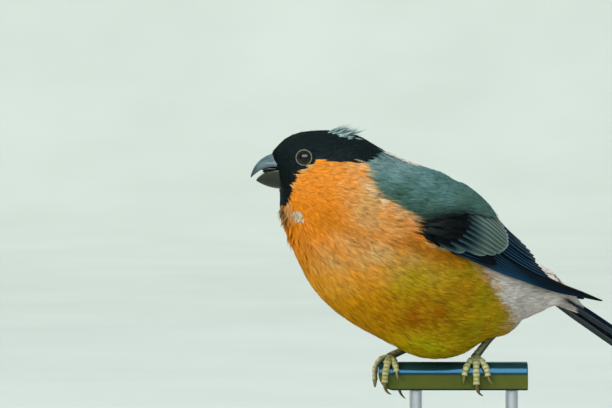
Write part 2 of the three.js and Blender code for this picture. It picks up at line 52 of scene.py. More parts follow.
# How the bird stands: it faces +X in its own frame, whose origin is the middle of the bar
stance = {
    "birdTurn": 205,  # degrees about Z, from the bird's frame to the stand's
    "pitch": 24,  # the trunk's rear points down by this
    "trunk": (8.8, 36),  # middle of the trunk, forward and up
    "headTurn": 20,  # the head is turned back to profile
    "neck": 24.3,  # how far forward the turn's axis is
    "billBase": (51, 0, 65),
    "tailRoot": (-41, 0, 28),
}
perchLow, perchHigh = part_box("stand_perch")
barMiddle = (perchLow.z + perchHigh.z) / 2 / mm


def rows(points):
    return np.asarray(points, float).reshape(-1, 3)


def spun(points, degrees):
    a = np.radians(degrees)
    c, s = np.cos(a), np.sin(a)
    p = rows(points)
    return np.stack([c * p[:, 0] - s * p[:, 1], s * p[:, 0] + c * p[:, 1], p[:, 2]], 1)


def toStand(points):
    return (spun(points, stance["birdTurn"]) + [0, 0, barMiddle]) * mm


def toBird(points):
    return spun(rows(points) / mm - [0, 0, barMiddle], -stance["birdTurn"])


def aroundNeck(points, degrees):
    pivot = [stance["neck"], 0, 0]
    return spun(rows(points) - pivot, degrees) + pivot


def smooth(x, low, high):
    t = np.clip((x - low) / (high - low), 0, 1)
    return t * t * (3 - 2 * t)


# The head's turn at points of a bird that looks ahead: none on the trunk, all of it on the head
def headTurnAt(points):
    neckLine = 0.86 * points[:, 0] + 0.51 * points[:, 2]
    return stance["headTurn"] * smooth(neckLine, 30, 66.5)


# Undoes the head's turn, so that markings can be given on a bird that looks straight ahead
def straighten(points):
    p = rows(points)
    q = p
    for _ in range(4):
        q = aroundNeck(p, headTurnAt(q))
    return q


def unstraighten(points):
    p = rows(points)
    return aroundNeck(p, -headTurnAt(p))


def onHead(points):
    return aroundNeck(points, -stance["headTurn"])


# The trunk's own frame: x forward along its line, z to the back
trunkCos = math.cos(math.radians(stance["pitch"]))
trunkSin = math.sin(math.radians(stance["pitch"]))


def toTrunk(points):
    p = rows(points)
    x, z = p[:, 0] - stance["trunk"][0], p[:, 2] - stance["trunk"][1]
    return np.stack([x * trunkCos + z * trunkSin, p[:, 1], z * trunkCos - x * trunkSin], 1)


def fromTrunk(points):
    p = rows(points)
    x = stance["trunk"][0] + p[:, 0] * trunkCos - p[:, 2] * trunkSin
    z = stance["trunk"][1] + p[:, 0] * trunkSin + p[:, 2] * trunkCos
    return np.stack([x, p[:, 1], z], 1)


# Degrees round the trunk from the middle of the back, on either side
def aroundTrunk(across, height):
    return np.degrees(np.arctan2(np.abs(across), height - 6))


def unit(v):
    return v / np.maximum(np.linalg.norm(v, axis=-1, keepdims=True), 1e-9)


def mixed(a, b, share):
    return a + (b - a) * share


# The same for rows of colours or places, with a share for each row
def blend(a, b, share):
    return mixed(a, b, share[:, None])


def readOff(table, value):
    return np.interp(value, *zip(*table))


# Catmull-Rom through evenly spaced points; t runs from 0 to 1
def through(points, t):
    p = np.asarray(points, float)
    p = p.reshape(len(p), -1)
    last = len(p) - 1
    s = np.clip(np.atleast_1d(t), 0, 1) * last
    i = np.minimum(s.astype(int), last - 1)
    f = (s - i)[:, None]
    padded = np.vstack([2 * p[0] - p[1], p, 2 * p[-1] - p[-2]])
    a, b, c, d = (padded[i + k] for k in range(4))
    return 0.5 * (2 * b + (c - a) * f + (2 * a - 5 * b + 4 * c - d) * f**2 + (3 * b - a - 3 * c + d) * f**3)


def bezier(a, b, c, t):
    t = np.atleast_1d(t)[:, None]
    return (1 - t) ** 2 * np.asarray(a) + 2 * t * (1 - t) * np.asarray(b) + t**2 * np.asarray(c)


view = {
    "scale": 3.15,  # pixels of the photo for a millimetre in the bird's plane
    "width": 612,
    "lens": 300,
    "sensor": 36,
    "aim": (-39.4, 0, 54.6),  # from the bar's middle
    "elevation": 2,
}


def lookAt(thing, aim):
    thing.rotation_euler = (aim - thing.location).to_track_quat("-Z", "Y").to_euler()


def makeCamera():
    away = view["lens"] / view["sensor"] * view["width"] / view["scale"] * mm
    tilt = math.radians(view["elevation"])
    aim = Vector(view["aim"]) * mm + Vector((0, 0, barMiddle * mm))
    bpy.ops.object.camera_add()
    camera = bpy.context.object
    camera.location = aim + away * Vector((0, -math.cos(tilt), math.sin(tilt)))
    lookAt(camera, aim)
    camera.data.lens = view["lens"]
    camera.data.sensor_width = view["sensor"]
    camera.data.clip_end = 20
    bpy.context.scene.camera = camera


# Place, width and depth, strength and colour, in metres and watts. Each looks at the bird, but the paper's
# at the floor behind it. Glossy surfaces show only the catch light, which lights nothing else.
studio = {
    "sky": ((-0.15, -0.26, 1.1), (1.1, 0.5), 8.5, (0.92, 0.98, 1.0)),
    "front": ((-1.1, -0.85, 0.5), (0.7, 0.7), 12.5, (1.0, 0.96, 0.90)),
    "fill": ((-0.1, -1.2, 0.95), (1.6, 0.75), 12, (0.80, 0.94, 1.0)),
    "back": ((0.35, 0.8, 0.8), (0.4, 0.4), 2.2, (0.95, 0.98, 1.0)),
    "paper": ((0, 1.75, 2.0), (3.8, 1.0), 74, (0.94, 1.0, 0.97)),
    "catch": ((-0.1, -1.25, 1.0), (2.3, 1.1), 82, (0.70, 0.88, 1.0)),
}
birdAim, paperAim = (-0.01, 0, 0.075), (0, 2.3, 0)
air = {"colour": (0.86, 0.9, 0.92, 1), "strength": 0.26}


def makeLights():
    for name, (place, size, power, colour) in studio.items():
        bpy.ops.object.light_add(type="AREA", location=place)
        light = bpy.context.object
        light.name = "light_" + name
        light.data.shape = "RECTANGLE"
        light.data.size, light.data.size_y = size
        light.data.energy = power
        light.data.color = colour
        light.visible_glossy = name == "catch"
        light.visible_diffuse = name != "catch"
        light.visible_camera = False
        lookAt(light, Vector(paperAim if name == "paper" else birdAim))
    world = bpy.data.worlds.new("studio air")
    bpy.context.scene.world = world
    world.use_nodes = True
    background = world.node_tree.nodes["Background"]
    background.inputs["Color"].default_value = air["colour"]
    background.inputs["Strength"].default_value = air["strength"]
    bpy.context.scene.view_settings.view_transform = "Standard"


def clearSelection():
    if bpy.context.object and bpy.context.object.mode != "OBJECT":
        bpy.ops.object.mode_set(mode="OBJECT")
    bpy.ops.object.select_all(action="DESELECT")


def pick(*objects):
    clearSelection()
    for o in objects:
        o.select_set(True)
    bpy.context.view_layer.objects.active = objects[0]


def editAll():
    bpy.ops.object.mode_set(mode="EDIT")
    bpy.ops.mesh.select_all(action="SELECT")


def doneEditing():
    bpy.ops.object.mode_set(mode="OBJECT")


# In edit mode, with only those edges selected whose two ends answer to wanted
def selectEdges(piece, wanted):
    editAll()
    bpy.ops.mesh.select_all(action="DESELECT")
    bpy.ops.mesh.select_mode(type="EDGE")
    doneEditing()
    for edge in piece.data.edges:
        edge.select = wanted(*(piece.data.vertices[i].co for i in edge.vertices))
    bpy.ops.object.mode_set(mode="EDIT")


def addSphere(segments, rings, radius, **place):
    clearSelection()
    bpy.ops.mesh.primitive_uv_sphere_add(segments=segments, ring_count=rings, radius=radius, **place)
    return bpy.context.object


def joined(name, *parts):
    pick(*parts)
    bpy.ops.object.join()
    parts[0].name = name
    return parts[0]


def getCo(piece):
    co = np.empty(len(piece.data.vertices) * 3)
    piece.data.vertices.foreach_get("co", co)
    return co.reshape(-1, 3)


def setCo(piece, co):
    piece.data.vertices.foreach_set("co", np.ascontiguousarray(co, float).ravel())
    piece.data.update()


# Vertices, triangles and vertex normals
def meshData(piece):
    mesh = piece.data
    mesh.calc_loop_triangles()
    tris = np.empty(len(mesh.loop_triangles) * 3, int)
    mesh.loop_triangles.foreach_get("vertices", tris)
    normals = np.empty(len(mesh.vertices) * 3)
    mesh.vertices.foreach_get("normal", normals)
    return getCo(piece), tris.reshape(-1, 3), normals.reshape(-1, 3)


# Reads a modelled piece as vertices and triangles, and deletes it
def takeArrays(piece):
    pick(piece)
    editAll()
    bpy.ops.mesh.quads_convert_to_tris()
    doneEditing()
    co, tris, _ = meshData(piece)
    bpy.data.objects.remove(piece)
    return co, tris


def applyModifier(piece, kind, **settings):
    pick(piece)
    modifier = piece.modifiers.new(kind.lower(), kind)
    for key, value in settings.items():
        setattr(modifier, key, value)
    bpy.ops.object.modifier_apply(modifier=modifier.name)


backdrop = {"wide": 5.0, "front": -4.5, "bend": 1.7, "radius": 0.9, "tall": 1.6, "steps": 16}


# A floor that bends up behind, so that it shows no edge
def makeBackdrop():
    clearSelection()
    bpy.ops.mesh.primitive_plane_add(size=1)
    paper = bpy.context.object
    paper.name = "backdrop"
    co = getCo(paper)
    co[:, 0] *= 2 * backdrop["wide"]
    co[:, 1] = np.where(co[:, 1] > 0, backdrop["bend"], backdrop["front"])
    setCo(paper, co)
    selectEdges(paper, lambda a, b: min(a.y, b.y) > 0)
    angles = [math.pi / 2 * k / backdrop["steps"] for k in range(backdrop["steps"] + 1)]
    for a, b in zip(angles, angles[1:]):
        move = backdrop["radius"] * Vector((0, math.sin(b) - math.sin(a), math.cos(a) - math.cos(b)))
        bpy.ops.mesh.extrude_region_move(TRANSFORM_OT_translate={"value": move})
    bpy.ops.mesh.extrude_region_move(TRANSFORM_OT_translate={"value": (0, 0, backdrop["tall"])})
    doneEditing()
    bpy.ops.object.shade_smooth()
    made = Material("studio_paper", {"Roughness": 0.9})
    mottle = made.noise(scale=9, detail=2)
    made.link(made.ramp(mottle, (0.3, (0.41, 0.44, 0.41)), (0.7, (0.44, 0.47, 0.44))), "Base Color")
    paper.data.materials.append(made.made)


# A small wrapper that keeps the node code short
class Material:
    def __init__(self, name, sockets):
        self.made = bpy.data.materials.new(name)
        self.made.use_nodes = True
        self.tree = self.made.node_tree
        self.shader = self.tree.nodes["Principled BSDF"]
        for socket, value in sockets.items():
            self.shader.inputs[socket].default_value = value
        self.place = None

    def add(self, kind, **settings):
        node = self.tree.nodes.new(kind)
        for key, value in settings.items():
            setattr(node, key, value)
        return node

    # a number or colour is set, and another node's output is linked
    def link(self, given, target, node=None):
        socket = (node or self.shader).inputs[target]
        if isinstance(given, tuple) and socket.type == "RGBA" and len(given) == 3:
            given = (*given, 1)
        if isinstance(given, (int, float, tuple)):
            socket.default_value = given
        else:
            self.tree.links.new(given, socket)

    def linkAll(self, node, given):
        for target, value in given.items():
            self.link(value, target, node)

    def coordinates(self, scale=(1, 1, 1), turn=(0, 0, 0), uv=None):
        if uv:
            source = self.add("ShaderNodeUVMap", uv_map=uv).outputs["UV"]
        else:
            if self.place is None:
                self.place = self.add("ShaderNodeTexCoord").outputs["Object"]
            source = self.place
        mapping = self.add("ShaderNodeMapping")
        self.linkAll(mapping, {"Vector": source, "Scale": scale, "Rotation": turn})
        return mapping.outputs["Vector"]

    def height(self):
        split = self.add("ShaderNodeSeparateXYZ")
        self.link(self.coordinates(), "Vector", split)
        return split.outputs["Z"]

    def noise(self, scale, detail=3, stretch=(1, 1, 1), uv=None):
        node = self.add("ShaderNodeTexNoise")
        place = self.coordinates(stretch, uv=uv)
        self.linkAll(node, {"Vector": place, "Scale": scale, "Detail": detail, "Roughness": 0.55})
        return node.outputs["Fac"]

    def wave(self, scale, distortion, detail=2.0, stretch=(1, 1, 1), uv=None, turn=(0, 0, 0)):
        node = self.add("ShaderNodeTexWave")
        place = self.coordinates(stretch, turn, uv)
        self.linkAll(node, {"Vector": place, "Scale": scale, "Distortion": distortion, "Detail": detail})
        return node.outputs["Fac"]

    def ramp(self, value, *stops):
        node = self.add("ShaderNodeValToRGB")
        self.link(value, "Fac", node)
        ramp = node.color_ramp
        while len(ramp.elements) < len(stops):
            ramp.elements.new(1)
        for element, (place, colour) in zip(ramp.elements, stops):
            element.position = place
            element.color = (*colour, 1)
        return node.outputs["Color"]

    def span(self, value, low, high, start=0.0, end=1.0):
        node = self.add("ShaderNodeMapRange")
        ends = {"From Min": start, "From Max": end, "To Min": low, "To Max": high}
        self.linkAll(node, {"Value": value, **ends})
        return node.outputs["Result"]

    def mix(self, share, a, b, blend="MIX"):
        node = self.add("ShaderNodeMix", data_type="RGBA", blend_type=blend)
        self.linkAll(node, {0: share, 6: a, 7: b})
        return node.outputs[2]

    def sum(self, a, b, operation="ADD"):
        node = self.add("ShaderNodeMath", operation=operation)
        self.linkAll(node, {0: a, 1: b})
        return node.outputs[0]

    # the colour painted on the mesh, made darker in places by a noise
    def painted(self, share, noise, dark, low=0.3, high=0.7):
        cloud = self.ramp(noise, (low, dark), (high, (1, 1, 1)))
        colour = self.add("ShaderNodeVertexColor", layer_name="plumage").outputs["Color"]
        self.link(self.mix(share, colour, cloud, "MULTIPLY"), "Base Color")

    def bump(self, height, depth, strength=1.0):
        node = self.add("ShaderNodeBump")
        self.linkAll(node, {"Height": height, "Distance": depth * mm, "Strength": strength})
        self.link(node.outputs["Normal"], "Normal")


# Plumage colours, as linear light
plumage = {
    "black": (0.0045, 0.0095, 0.009),
    "covert": (0.005, 0.0065, 0.006),
    "orange": (0.78, 0.235, 0.010),
    "cheek": (0.76, 0.250, 0.022),
    "straw": (0.66, 0.42, 0.16),
    # gold, olive and lime are the orange with a painted green reflection from foliage; olive is also darkened
    # as painted shade
    "gold": (0.72, 0.34, 0.003),
    "olive": (0.42, 0.35, 0.003),
    "rust": (0.44, 0.145, 0.001),
    "lime": (0.40, 0.42, 0.002),
    "cream": (0.80, 0.64, 0.42),
    "grey": (0.105, 0.220, 0.205),
    "slate": (0.030, 0.074, 0.034),
    "pale": (0.34, 0.46, 0.45),
    "white": (0.86, 0.76, 0.68),
    "blush": (0.80, 0.45, 0.27),
    "tan": (0.50, 0.28, 0.11),
}
# Lower edge of the black cap from the nape to the bill: forward and up, on a bird that looks ahead
capEdge = (
    (15, 72.2), (17.3, 70.9), (19.7, 69.2), (23.6, 68.5), (29.2, 68.2), (32.2, 68.7), (35.1, 69.0),
    (38.8, 69.0), (41.2, 67.4), (43.6, 65.6), (45.2, 64.2), (45.8, 62.2), (46.8, 59.4), (47.3, 55.6),
    (49.2, 53.4),
)
# Front edge of the grey back: up and forward
greyEdge = (
    (42, 8), (46, 11.2), (49.4, 12.4), (51.5, 14.0), (54, 17.2), (56.8, 18.8), (57.8, 22.0), (61.5, 22.8),
    (64.8, 23.2), (68.1, 23.6), (72, 22),
)
# The wing's black coverts, by the angle from the back: upper edge by trunk x, front edge by angle, lower
# edge by trunk x
covertEdge = ((-6, 56), (2.9, 67), (8.7, 77), (10, 84))
covertFront = ((60, 11), (76, 9.6), (86, 7.2), (92, 4.6))
covertUnder = ((-14, 87.5), (-4, 89), (5, 91.5))
# Front edge of the white underneath: trunk z and x
ventEdge = ((-30, -43), (-4, -43), (0, -34), (3, -26), (6, -20), (9, -17))
# Clouds of colour on the breast, then on the belly: forward, up, half length, half height, share, colour
# the breast's straw clouds are painted highlights where it faces the light
breastClouds = (
    (25, 39, 11, 7, 0.8, "straw"), (36, 33, 6, 9, 0.5, "straw"), (12, 33, 9, 4, 0.4, "straw"),
)
# on the belly the olive and lime clouds are a painted green reflection from foliage, and the lime cloud at 16
# forward, 31 up is a painted highlight
bellyClouds = (
    (33, 50, 8, 8, 0.55, "rust"), (42, 36, 4, 7, 0.3, "rust"), (17, 30, 5, 5, 0.5, "olive"),
    (8, 20, 10, 5, 0.95, "rust"), (-2, 26, 5, 4, 0.75, "rust"), (24, 22, 7, 4, 0.35, "rust"),
    (6, 9, 8, 4, 0.7, "lime"), (-10, 18, 6, 9, 0.5, "olive"), (16, 31, 4, 5, 0.35, "lime"),
)


# Soft blotches that follow the body, from a sum of seeded waves
def blotches(p, size, key):
    wave = np.random.default_rng(key)
    total = np.zeros(len(p))
    for _ in range(7):
        way = unit(wave.normal(size=3)) * (2 * np.pi / (size * wave.uniform(0.7, 1.6)))
        total += np.sin(p @ way + wave.uniform(0, 2 * np.pi))
    return total / 3.2


def peak(x, middle, reach):
    return np.exp(-(((x - middle) / reach) ** 2))


def cloudLayers(clouds, x, z, patchy):
    layers = []
    for forward, up, long, high, share, name in clouds:
        layers.append((name, peak(x, forward, long) * peak(z, up, high) * share * patchy))
    return layers


# Lays named colours over one another, each by its share at each point
def layered(base, count, layers):
    colour = np.tile(np.asarray(plumage[base]), (count, 1))
    for name, share in layers:
        colour = blend(colour, np.asarray(plumage[name]), np.clip(share, 0, 1))
    return colour


# Colour of the plumage at points of the bird's frame, and the name of each point's finish
def markings(points):
    p = straighten(points)
    trunk = toTrunk(points)
    x, y, z = p.T
    tx, low = trunk[:, 0], trunk[:, 2]
    # frayed edges and patchy colours
    fuzz = blotches(p, 2.6, 5) * 0.45
    grain = blotches(p, 1.3, 21)
    fine = blotches(p, 3.2, 16)

    capZ = readOff(capEdge, x)
    cap = (z + fuzz > capZ) & (x + fuzz > 14)
    bib = (z > 53.4 + fuzz) & (x > 45) & (np.abs(y) < 4.2 + 0.35 * (z - 51) + fuzz)
    ring = np.hypot(x - eye["place"][0], z - eye["place"][1]) + fuzz * 0.5 < eye["dark"]
    black = cap | bib | (ring & (np.abs(y) > 5))
    around = aroundTrunk(y, low)
    under = around - readOff(covertUnder, tx)
    above = under < 0.3 * fuzz
    greyX = readOff(greyEdge, z + fuzz)
    toGrey = greyX - x - 1.6 * fuzz - 1.1 * grain
    toCovert = around + fuzz * 2 - readOff(covertEdge, tx)
    covert = above & (toCovert > 0) & (tx < readOff(covertFront, around) + fuzz) & (tx > -14)
    grey = (toGrey > 0) & above & ~black & (toCovert <= 0)
    rump = (tx + fuzz < -27) & (low > 0) & ~black
    behindVent = readOff(ventEdge, low) - tx
    vent = smooth(behindVent + fuzz * 3, -4, 3)

    side = smooth(x, 36, 26) * smooth(x, 6, 16) * smooth(z, 44, 50)
    collar = smooth(x - greyX, 6, 1) * smooth(z, 44, 50)
    rear = smooth(x, 30, -2) * smooth(z, 46, 34)
    # painted shade on the flank under the wing's lower edge
    wingShadeBand = smooth(under, 0, 2) * smooth(under, 18, 6) * smooth(tx, -16, -6) * smooth(tx, 15, 8)
    bandEdge = peak(under, 1.2, 0.9) * smooth(tx, -5, 0) * smooth(tx, 9, 6)
    rim = peak(capZ - z, 0.5, 0.5) * smooth(x, 37, 40) * smooth(z, 58, 61)
    loose = smooth(z, 48.5, 51.5) * smooth(z, 60, 55) * smooth(np.abs(y), 11, 8) * smooth(x, 44.5, 46.5)
    blush = smooth(behindVent + 6 + fuzz * 2, -4, 6) * smooth(low, -9, -2)
    colour = layered("orange", len(p), [
        ("cheek", smooth(z, 52, 62) * smooth(x, 26, 34)),
        # straw and cream at the side of the neck, and straw across the middle of the breast, where it is a
        # painted highlight
        ("straw", np.minimum(side * (0.62 + 0.25 * blotches(p, 9, 11) + 0.12 * fine), 0.9)),
        ("cream", np.minimum(collar * (0.25 + 0.35 * fine), 0.7)),
        *cloudLayers(breastClouds, x, z, 0.85 + 0.5 * blotches(p, 8, 12) + 0.1 * fine),
        # gold and olive lower down and towards the rear, a painted green reflection from foliage with painted
        # shade on the lower belly, and rusty clouds
        ("gold", 0.85 * smooth(z, 44, 18)),
        ("olive", 0.75 * rear * (0.8 + 0.25 * blotches(p, 11, 13))),
        *cloudLayers(bellyClouds, x, z, 0.9 + 0.45 * blotches(p, 7, 14) + 0.1 * fine),
        # a darker rusty band under the wing, painted shade where the wing overhangs the flank, with a straw
        # line along its edge
        ("rust", 0.75 * wingShadeBand),
        ("straw", 0.9 * bandEdge),
        # a straw rim under the cap, and loose tan feathers under the bib
        ("straw", 0.7 * rim),
        ("tan", loose * (0.6 + 0.4 * fine)),
        ("cream", loose * (0.5 * blotches(p, 2.2, 17) - 0.1)),
        ("blush", blush * 0.6),
        ("white", vent * 0.8),
    ])
    back = layered("grey", len(p), [
        # paler at the top of the nape and mantle: a painted rim of light
        ("pale", smooth(z, 58, 68) * smooth(x, 0, 16) * (0.35 + 0.15 * fine)),
        ("slate", 0.75 * smooth(low, 25, 13) + 0.25 * blotches(p, 8, 15) + 0.12 * fine),
        ("slate", 0.55 * smooth(tx, 10, -12)),
        ("covert", 0.75 * smooth(toCovert, -13, 0) * smooth(tx, 17, 9)),
    ])
    colour = blend(colour, back, smooth(toGrey, -1.6, 1.4) * (above & (x > 0)))
    greyBehind = grey & (x <= 0)
    colour[greyBehind] = back[greyBehind]
    kind = np.full(len(p), "orange", object)
    kind[vent > 0.6] = "white"
    kind[grey] = "grey"
    for place, name, finish in (
        (rump, "white", "white"),
        (black, "black", "black"),
        (covert, "covert", "black"),
    ):
        colour[place] = plumage[name]
        kind[place] = finish
    return colour, kind


# Feather sizes by the distance behind the bill
coat = {
    "behind": (0, 5, 12, 20, 30, 45, 110),
    "depth": (0.25, 0.3, 0.4, 0.5, 0.62, 0.72, 0.85),
    "length": (1.6, 2.6, 3.8, 5.6, 8.0, 9.8, 10.6),
    "width": (0.5, 0.62, 0.85, 1.05, 1.4, 1.7, 1.9),
    "spacing": (0.45, 0.50, 0.58, 0.70, 0.88, 1.05, 1.16),
    "backShare": 0.7,  # the coat of the back is thinner
}


def coatAt(name, points):
    p = straighten(points)
    behind = np.linalg.norm(p - stance["billBase"], axis=1)
    return np.interp(behind, coat["behind"], coat[name])


def coatDepth(points):
    depth = coatAt("depth", points)
    high = toTrunk(points)[:, 2]
    return depth * (1 - (1 - coat["backShare"]) * smooth(high, 8, 18))


# The folded wing lies on a rounded sheet around the trunk: trunk x, half width, top, middle height
sheetRings = (
    (24, 20.5, 24.0, 5.0),
    (12, 23.2, 26.5, 5.3),
    (0, 24.2, 27.6, 5.8),
    (-12, 23.0, 25.8, 6.6),
    (-24, 18.4, 20.8, 7.8),
    (-36, 13.4, 18.2, 9.2),
    (-48, 9.8, 16.9, 10.4),
    (-60, 8.0, 17.2, 12.4),
    (-72, 7.0, 17.6, 14.0),
)


# Angle in degrees from the back round the side; lift above the sheet
def sheetPoint(x, angle, lift):
    x, angle, lift = np.broadcast_arrays(*(np.asarray(v, float) for v in (x, angle, lift)))
    shape = x.shape
    x, angle, lift = x.ravel(), np.radians(angle.ravel()), lift.ravel()
    t = (x - sheetRings[0][0]) / (sheetRings[-1][0] - sheetRings[0][0])
    half, top, middle = through([ring[1:] for ring in sheetRings], t).T
    p = np.stack([x, (half + lift) * np.sin(angle), middle + (top - middle + lift) * np.cos(angle)], 1)
    return fromTrunk(p).reshape(*shape, 3)


# A closed loft: a grid rolled up, with its vertices at at(along, angle) in metres and both ends filled
def loft(name, rings, sides, at):
    clearSelection()
    bpy.ops.mesh.primitive_grid_add(x_subdivisions=sides, y_subdivisions=rings, size=2)
    piece = bpy.context.object
    piece.name = name
    co = getCo(piece)
    angle = (co[:, 0] + 1) / 2 * 2 * np.pi
    along = (co[:, 1] + 1) / 2
    setCo(piece, at(along, angle))
    editAll()
    bpy.ops.mesh.remove_doubles(threshold=1e-7)
    bpy.ops.mesh.select_all(action="DESELECT")
    bpy.ops.mesh.select_mode(type="EDGE")
    bpy.ops.mesh.select_non_manifold(extend=False, use_wire=False, use_multi_face=False,
                                     use_non_contiguous=False, use_verts=False)
    bpy.ops.mesh.fill_holes(sides=0)
    bpy.ops.mesh.select_all(action="SELECT")
    bpy.ops.mesh.normals_make_consistent(inside=False)
    doneEditing()
    bpy.ops.object.shade_smooth()
    return piece


def keep(piece, slot, *replaced):
    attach(piece, "root")
    if replaced:
        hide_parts(*replaced)
    return piece


# The shoulder under the wing's coverts
shoulder = {"front": 15, "rear": -5, "middle": (57, 54), "reach": 33, "lift": 1.1, "under": -0.5}


def makeShoulder(side):
    def at(along, angle):
        swell = np.sin(np.pi * (0.06 + 0.74 * along)) ** 0.6
        high = np.cos(angle)
        spread = mixed(*shoulder["middle"], along) + shoulder["reach"] * swell * np.sin(angle)
        outside = (shoulder["lift"] + 0.6) * high * swell
        lift = shoulder["under"] + np.where(high > 0, outside, 2.4 * high)
        p = sheetPoint(mixed(shoulder["front"], shoulder["rear"], along), spread, lift)
        p[:, 1] *= side
        return toStand(p)

    return loft("shoulder", 12, 20, at)


# The bird's skin: one closed mesh, from the flesh nodes and what fills them out
skinShape = {"swell": 0.2, "voxel": 0.55, "smoothing": 26, "eyeNear": 1.6, "eyeFar": 3.4, "socket": 2.8}
fleshNodes = ("head", "neck", "torso", "thigh_left", "thigh_right")
# The eyes sit a little ahead of and above the middles of their nodes
eyeShift = (0.85, 0, 0.85)
eyeNode, eyeMiddle = {}, {}
for side in ("left", "right"):
    low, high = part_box("eye_" + side)
    eyeNode[side] = (low + high) / 2
    eyeMiddle[side] = Vector(toStand(toBird([eyeNode[side]]) + spun([eyeShift], -stance["headTurn"]))[0])
# The near thigh is drawn in towards the knee, so that the ankle shows below its feathers
thigh = {"node": "thigh_left", "knee": (4.5, -9.5, 21), "share": 0.66}
# Full feathering beyond the solids: the belly hangs down to the bar and closes behind the near ankle
pads = (
    ((0, 5, 11.2), (13, 9, 5.6)),
    ((-19.5, 7.2, 18.6), (8.5, 6.2, 6.6)),
    ((-30, 3.5, 24.8), (10, 7.5, 7.2)),
    ((-37, 3.0, 26.2), (9, 6.5, 6.0)),
    ((2, 4.2, 15.5), (17, 10.8, 8)),
)


def fromBar(points):
    return (rows(points) + [0, 0, barMiddle]) * mm


def makePad(middle, size):
    pad = addSphere(48, 24, 1)
    setCo(pad, toStand(getCo(pad) * size + middle))
    return pad


def makeFlesh(name):
    flesh = nodes[name].copy()
    flesh.data = flesh.data.copy()
    flesh.parent = None
    for key in list(flesh.keys()):
        del flesh[key]
    bpy.context.scene.collection.objects.link(flesh)
    pick(flesh)
    editAll()
    bpy.ops.mesh.remove_doubles(threshold=1e-6)
    bpy.ops.mesh.normals_make_consistent(inside=False)
    bpy.ops.transform.shrink_fatten(value=skinShape["swell"] * mm)
    doneEditing()
    if name == thigh["node"]:
        knee = fromBar([thigh["knee"]])[0]
        setCo(flesh, knee + (getCo(flesh) - knee) * thigh["share"])
    return flesh


def makeSkin():
    parts = [makeFlesh(name) for name in fleshNodes]
    parts += [addSphere(32, 16, skinShape["socket"] * mm, location=middle) for middle in eyeNode.values()]
    parts += [makeShoulder(1), makeShoulder(-1), makeTailRoot()]
    parts += [makePad(middle, size) for middle, size in pads]
    skin = joined("skin", *parts)
    applyModifier(skin, "REMESH", mode="VOXEL", voxel_size=skinShape["voxel"] * mm, use_smooth_shade=True)

    # smoothed all over but close to the eyes, then drawn in by the coat's depth
    co = getCo(skin)
    near = np.min([np.linalg.norm(co - np.array(m), axis=1) for m in eyeMiddle.values()], axis=0) / mm
    weight = smooth(near, skinShape["eyeNear"], skinShape["eyeFar"])
    group = skin.vertex_groups.new(name="soft")
    for level in range(11):
        chosen = np.flatnonzero(np.round(weight * 10) == level)
        group.add([int(i) for i in chosen], level / 10, "REPLACE")
    applyModifier(skin, "SMOOTH", factor=0.5, iterations=skinShape["smoothing"], vertex_group="soft")
    co, _, normals = meshData(skin)
    depth = coatDepth(toBird(co)) * (0.25 + 0.75 * weight)
    setCo(skin, co - normals * (depth * mm)[:, None])

    skin.vertex_groups.clear()
    skin.data.materials.clear()
    while skin.data.uv_layers:
        skin.data.uv_layers.remove(skin.data.uv_layers[0])
    skin.data.uv_layers.new(name="OFBake")
    pick(skin)
    editAll()
    bpy.ops.uv.smart_project(angle_limit=math.radians(66), island_margin=0.002)
    doneEditing()
    skin.data.uv_layers.active = skin.data.uv_layers["OFBake"]
    colour, _ = markings(toBird(getCo(skin)))
    paintPoints(skin, colour * 0.85)
    return keep(skin, "plumage_orange", *fleshNodes)


def paintPoints(piece, colour):
    layer = piece.data.color_attributes.new(name="plumage", type="FLOAT_COLOR", domain="POINT")
    full = np.ones((len(colour), 4))
    full[:, :3] = np.clip(colour, 0, 1)
    layer.data.foreach_set("color", full.ravel())


# One barb, modelled and read as arrays: three-sided, along X, closed
def makeBarb():
    clearSelection()
    bpy.ops.mesh.primitive_cone_add(vertices=3, radius1=0.5, radius2=0, depth=1, rotation=(0, math.pi / 2, 0))
    barb = bpy.context.object
    bpy.ops.object.transform_apply(location=True, rotation=True, scale=True)
    editAll()
    bpy.ops.mesh.bisect(plane_co=(-0.02, 0, 0), plane_no=(1, 0, 0))
    bpy.ops.mesh.select_all(action="SELECT")
    bpy.ops.transform.translate(value=(0.5, 0, 0))
    co, tris = takeArrays(barb)
    # thick to the middle, then a taper
    share = np.where(co[:, 0] < 0.1, 0.75, np.where(co[:, 0] < 0.9, 1 / 0.55, 1))
    return co * np.stack([np.ones(len(co)), share, share], 1), tris


# A feather's closed web under its barbs: x from 0 to 1 along, y across, z up
def makeWeb():
    clearSelection()
    bpy.ops.mesh.primitive_cube_add(size=1, location=(0.5, 0, 0))
    web = bpy.context.object
    bpy.ops.object.transform_apply(location=True, rotation=True, scale=True)
    editAll()
    for cut in (0.3, 0.7):
        bpy.ops.mesh.bisect(plane_co=(cut, 0, 0), plane_no=(1, 0, 0))
        bpy.ops.mesh.select_all(action="SELECT")
    co, tris = takeArrays(web)
    wide = np.interp(co[:, 0], (0, 0.3, 0.7, 1), (0.25, 0.85, 0.9, 0.45))
    return np.stack([co[:, 0], co[:, 1] * wide, co[:, 2]], 1), tris


# Sizes are shares of the feather's width, and of its length along it
tuft = {
    "seed": 3,
    "kinds": 8,
    "barbs": 9,
    "barbWidth": 0.13,
    "rootSpan": 0.42,
    "spread": 1.0,
    "streak": 0.10,
    "web": (0.66, 0.7, 0.05),
}
# The top layer: long open feathers whose barbs show for their whole length
strand = {
    "seed": 4,
    "kinds": 10,
    "barbs": 7,
    "barbWidth": 0.15,
    "rootSpan": 0.22,
    "spread": 0.9,
    "streak": 0.13,
    "web": None,
    "spacing": 2.02,  # of the coat's
    "tint": 0.15,
    "lifts": (1.0, 1.18),
}


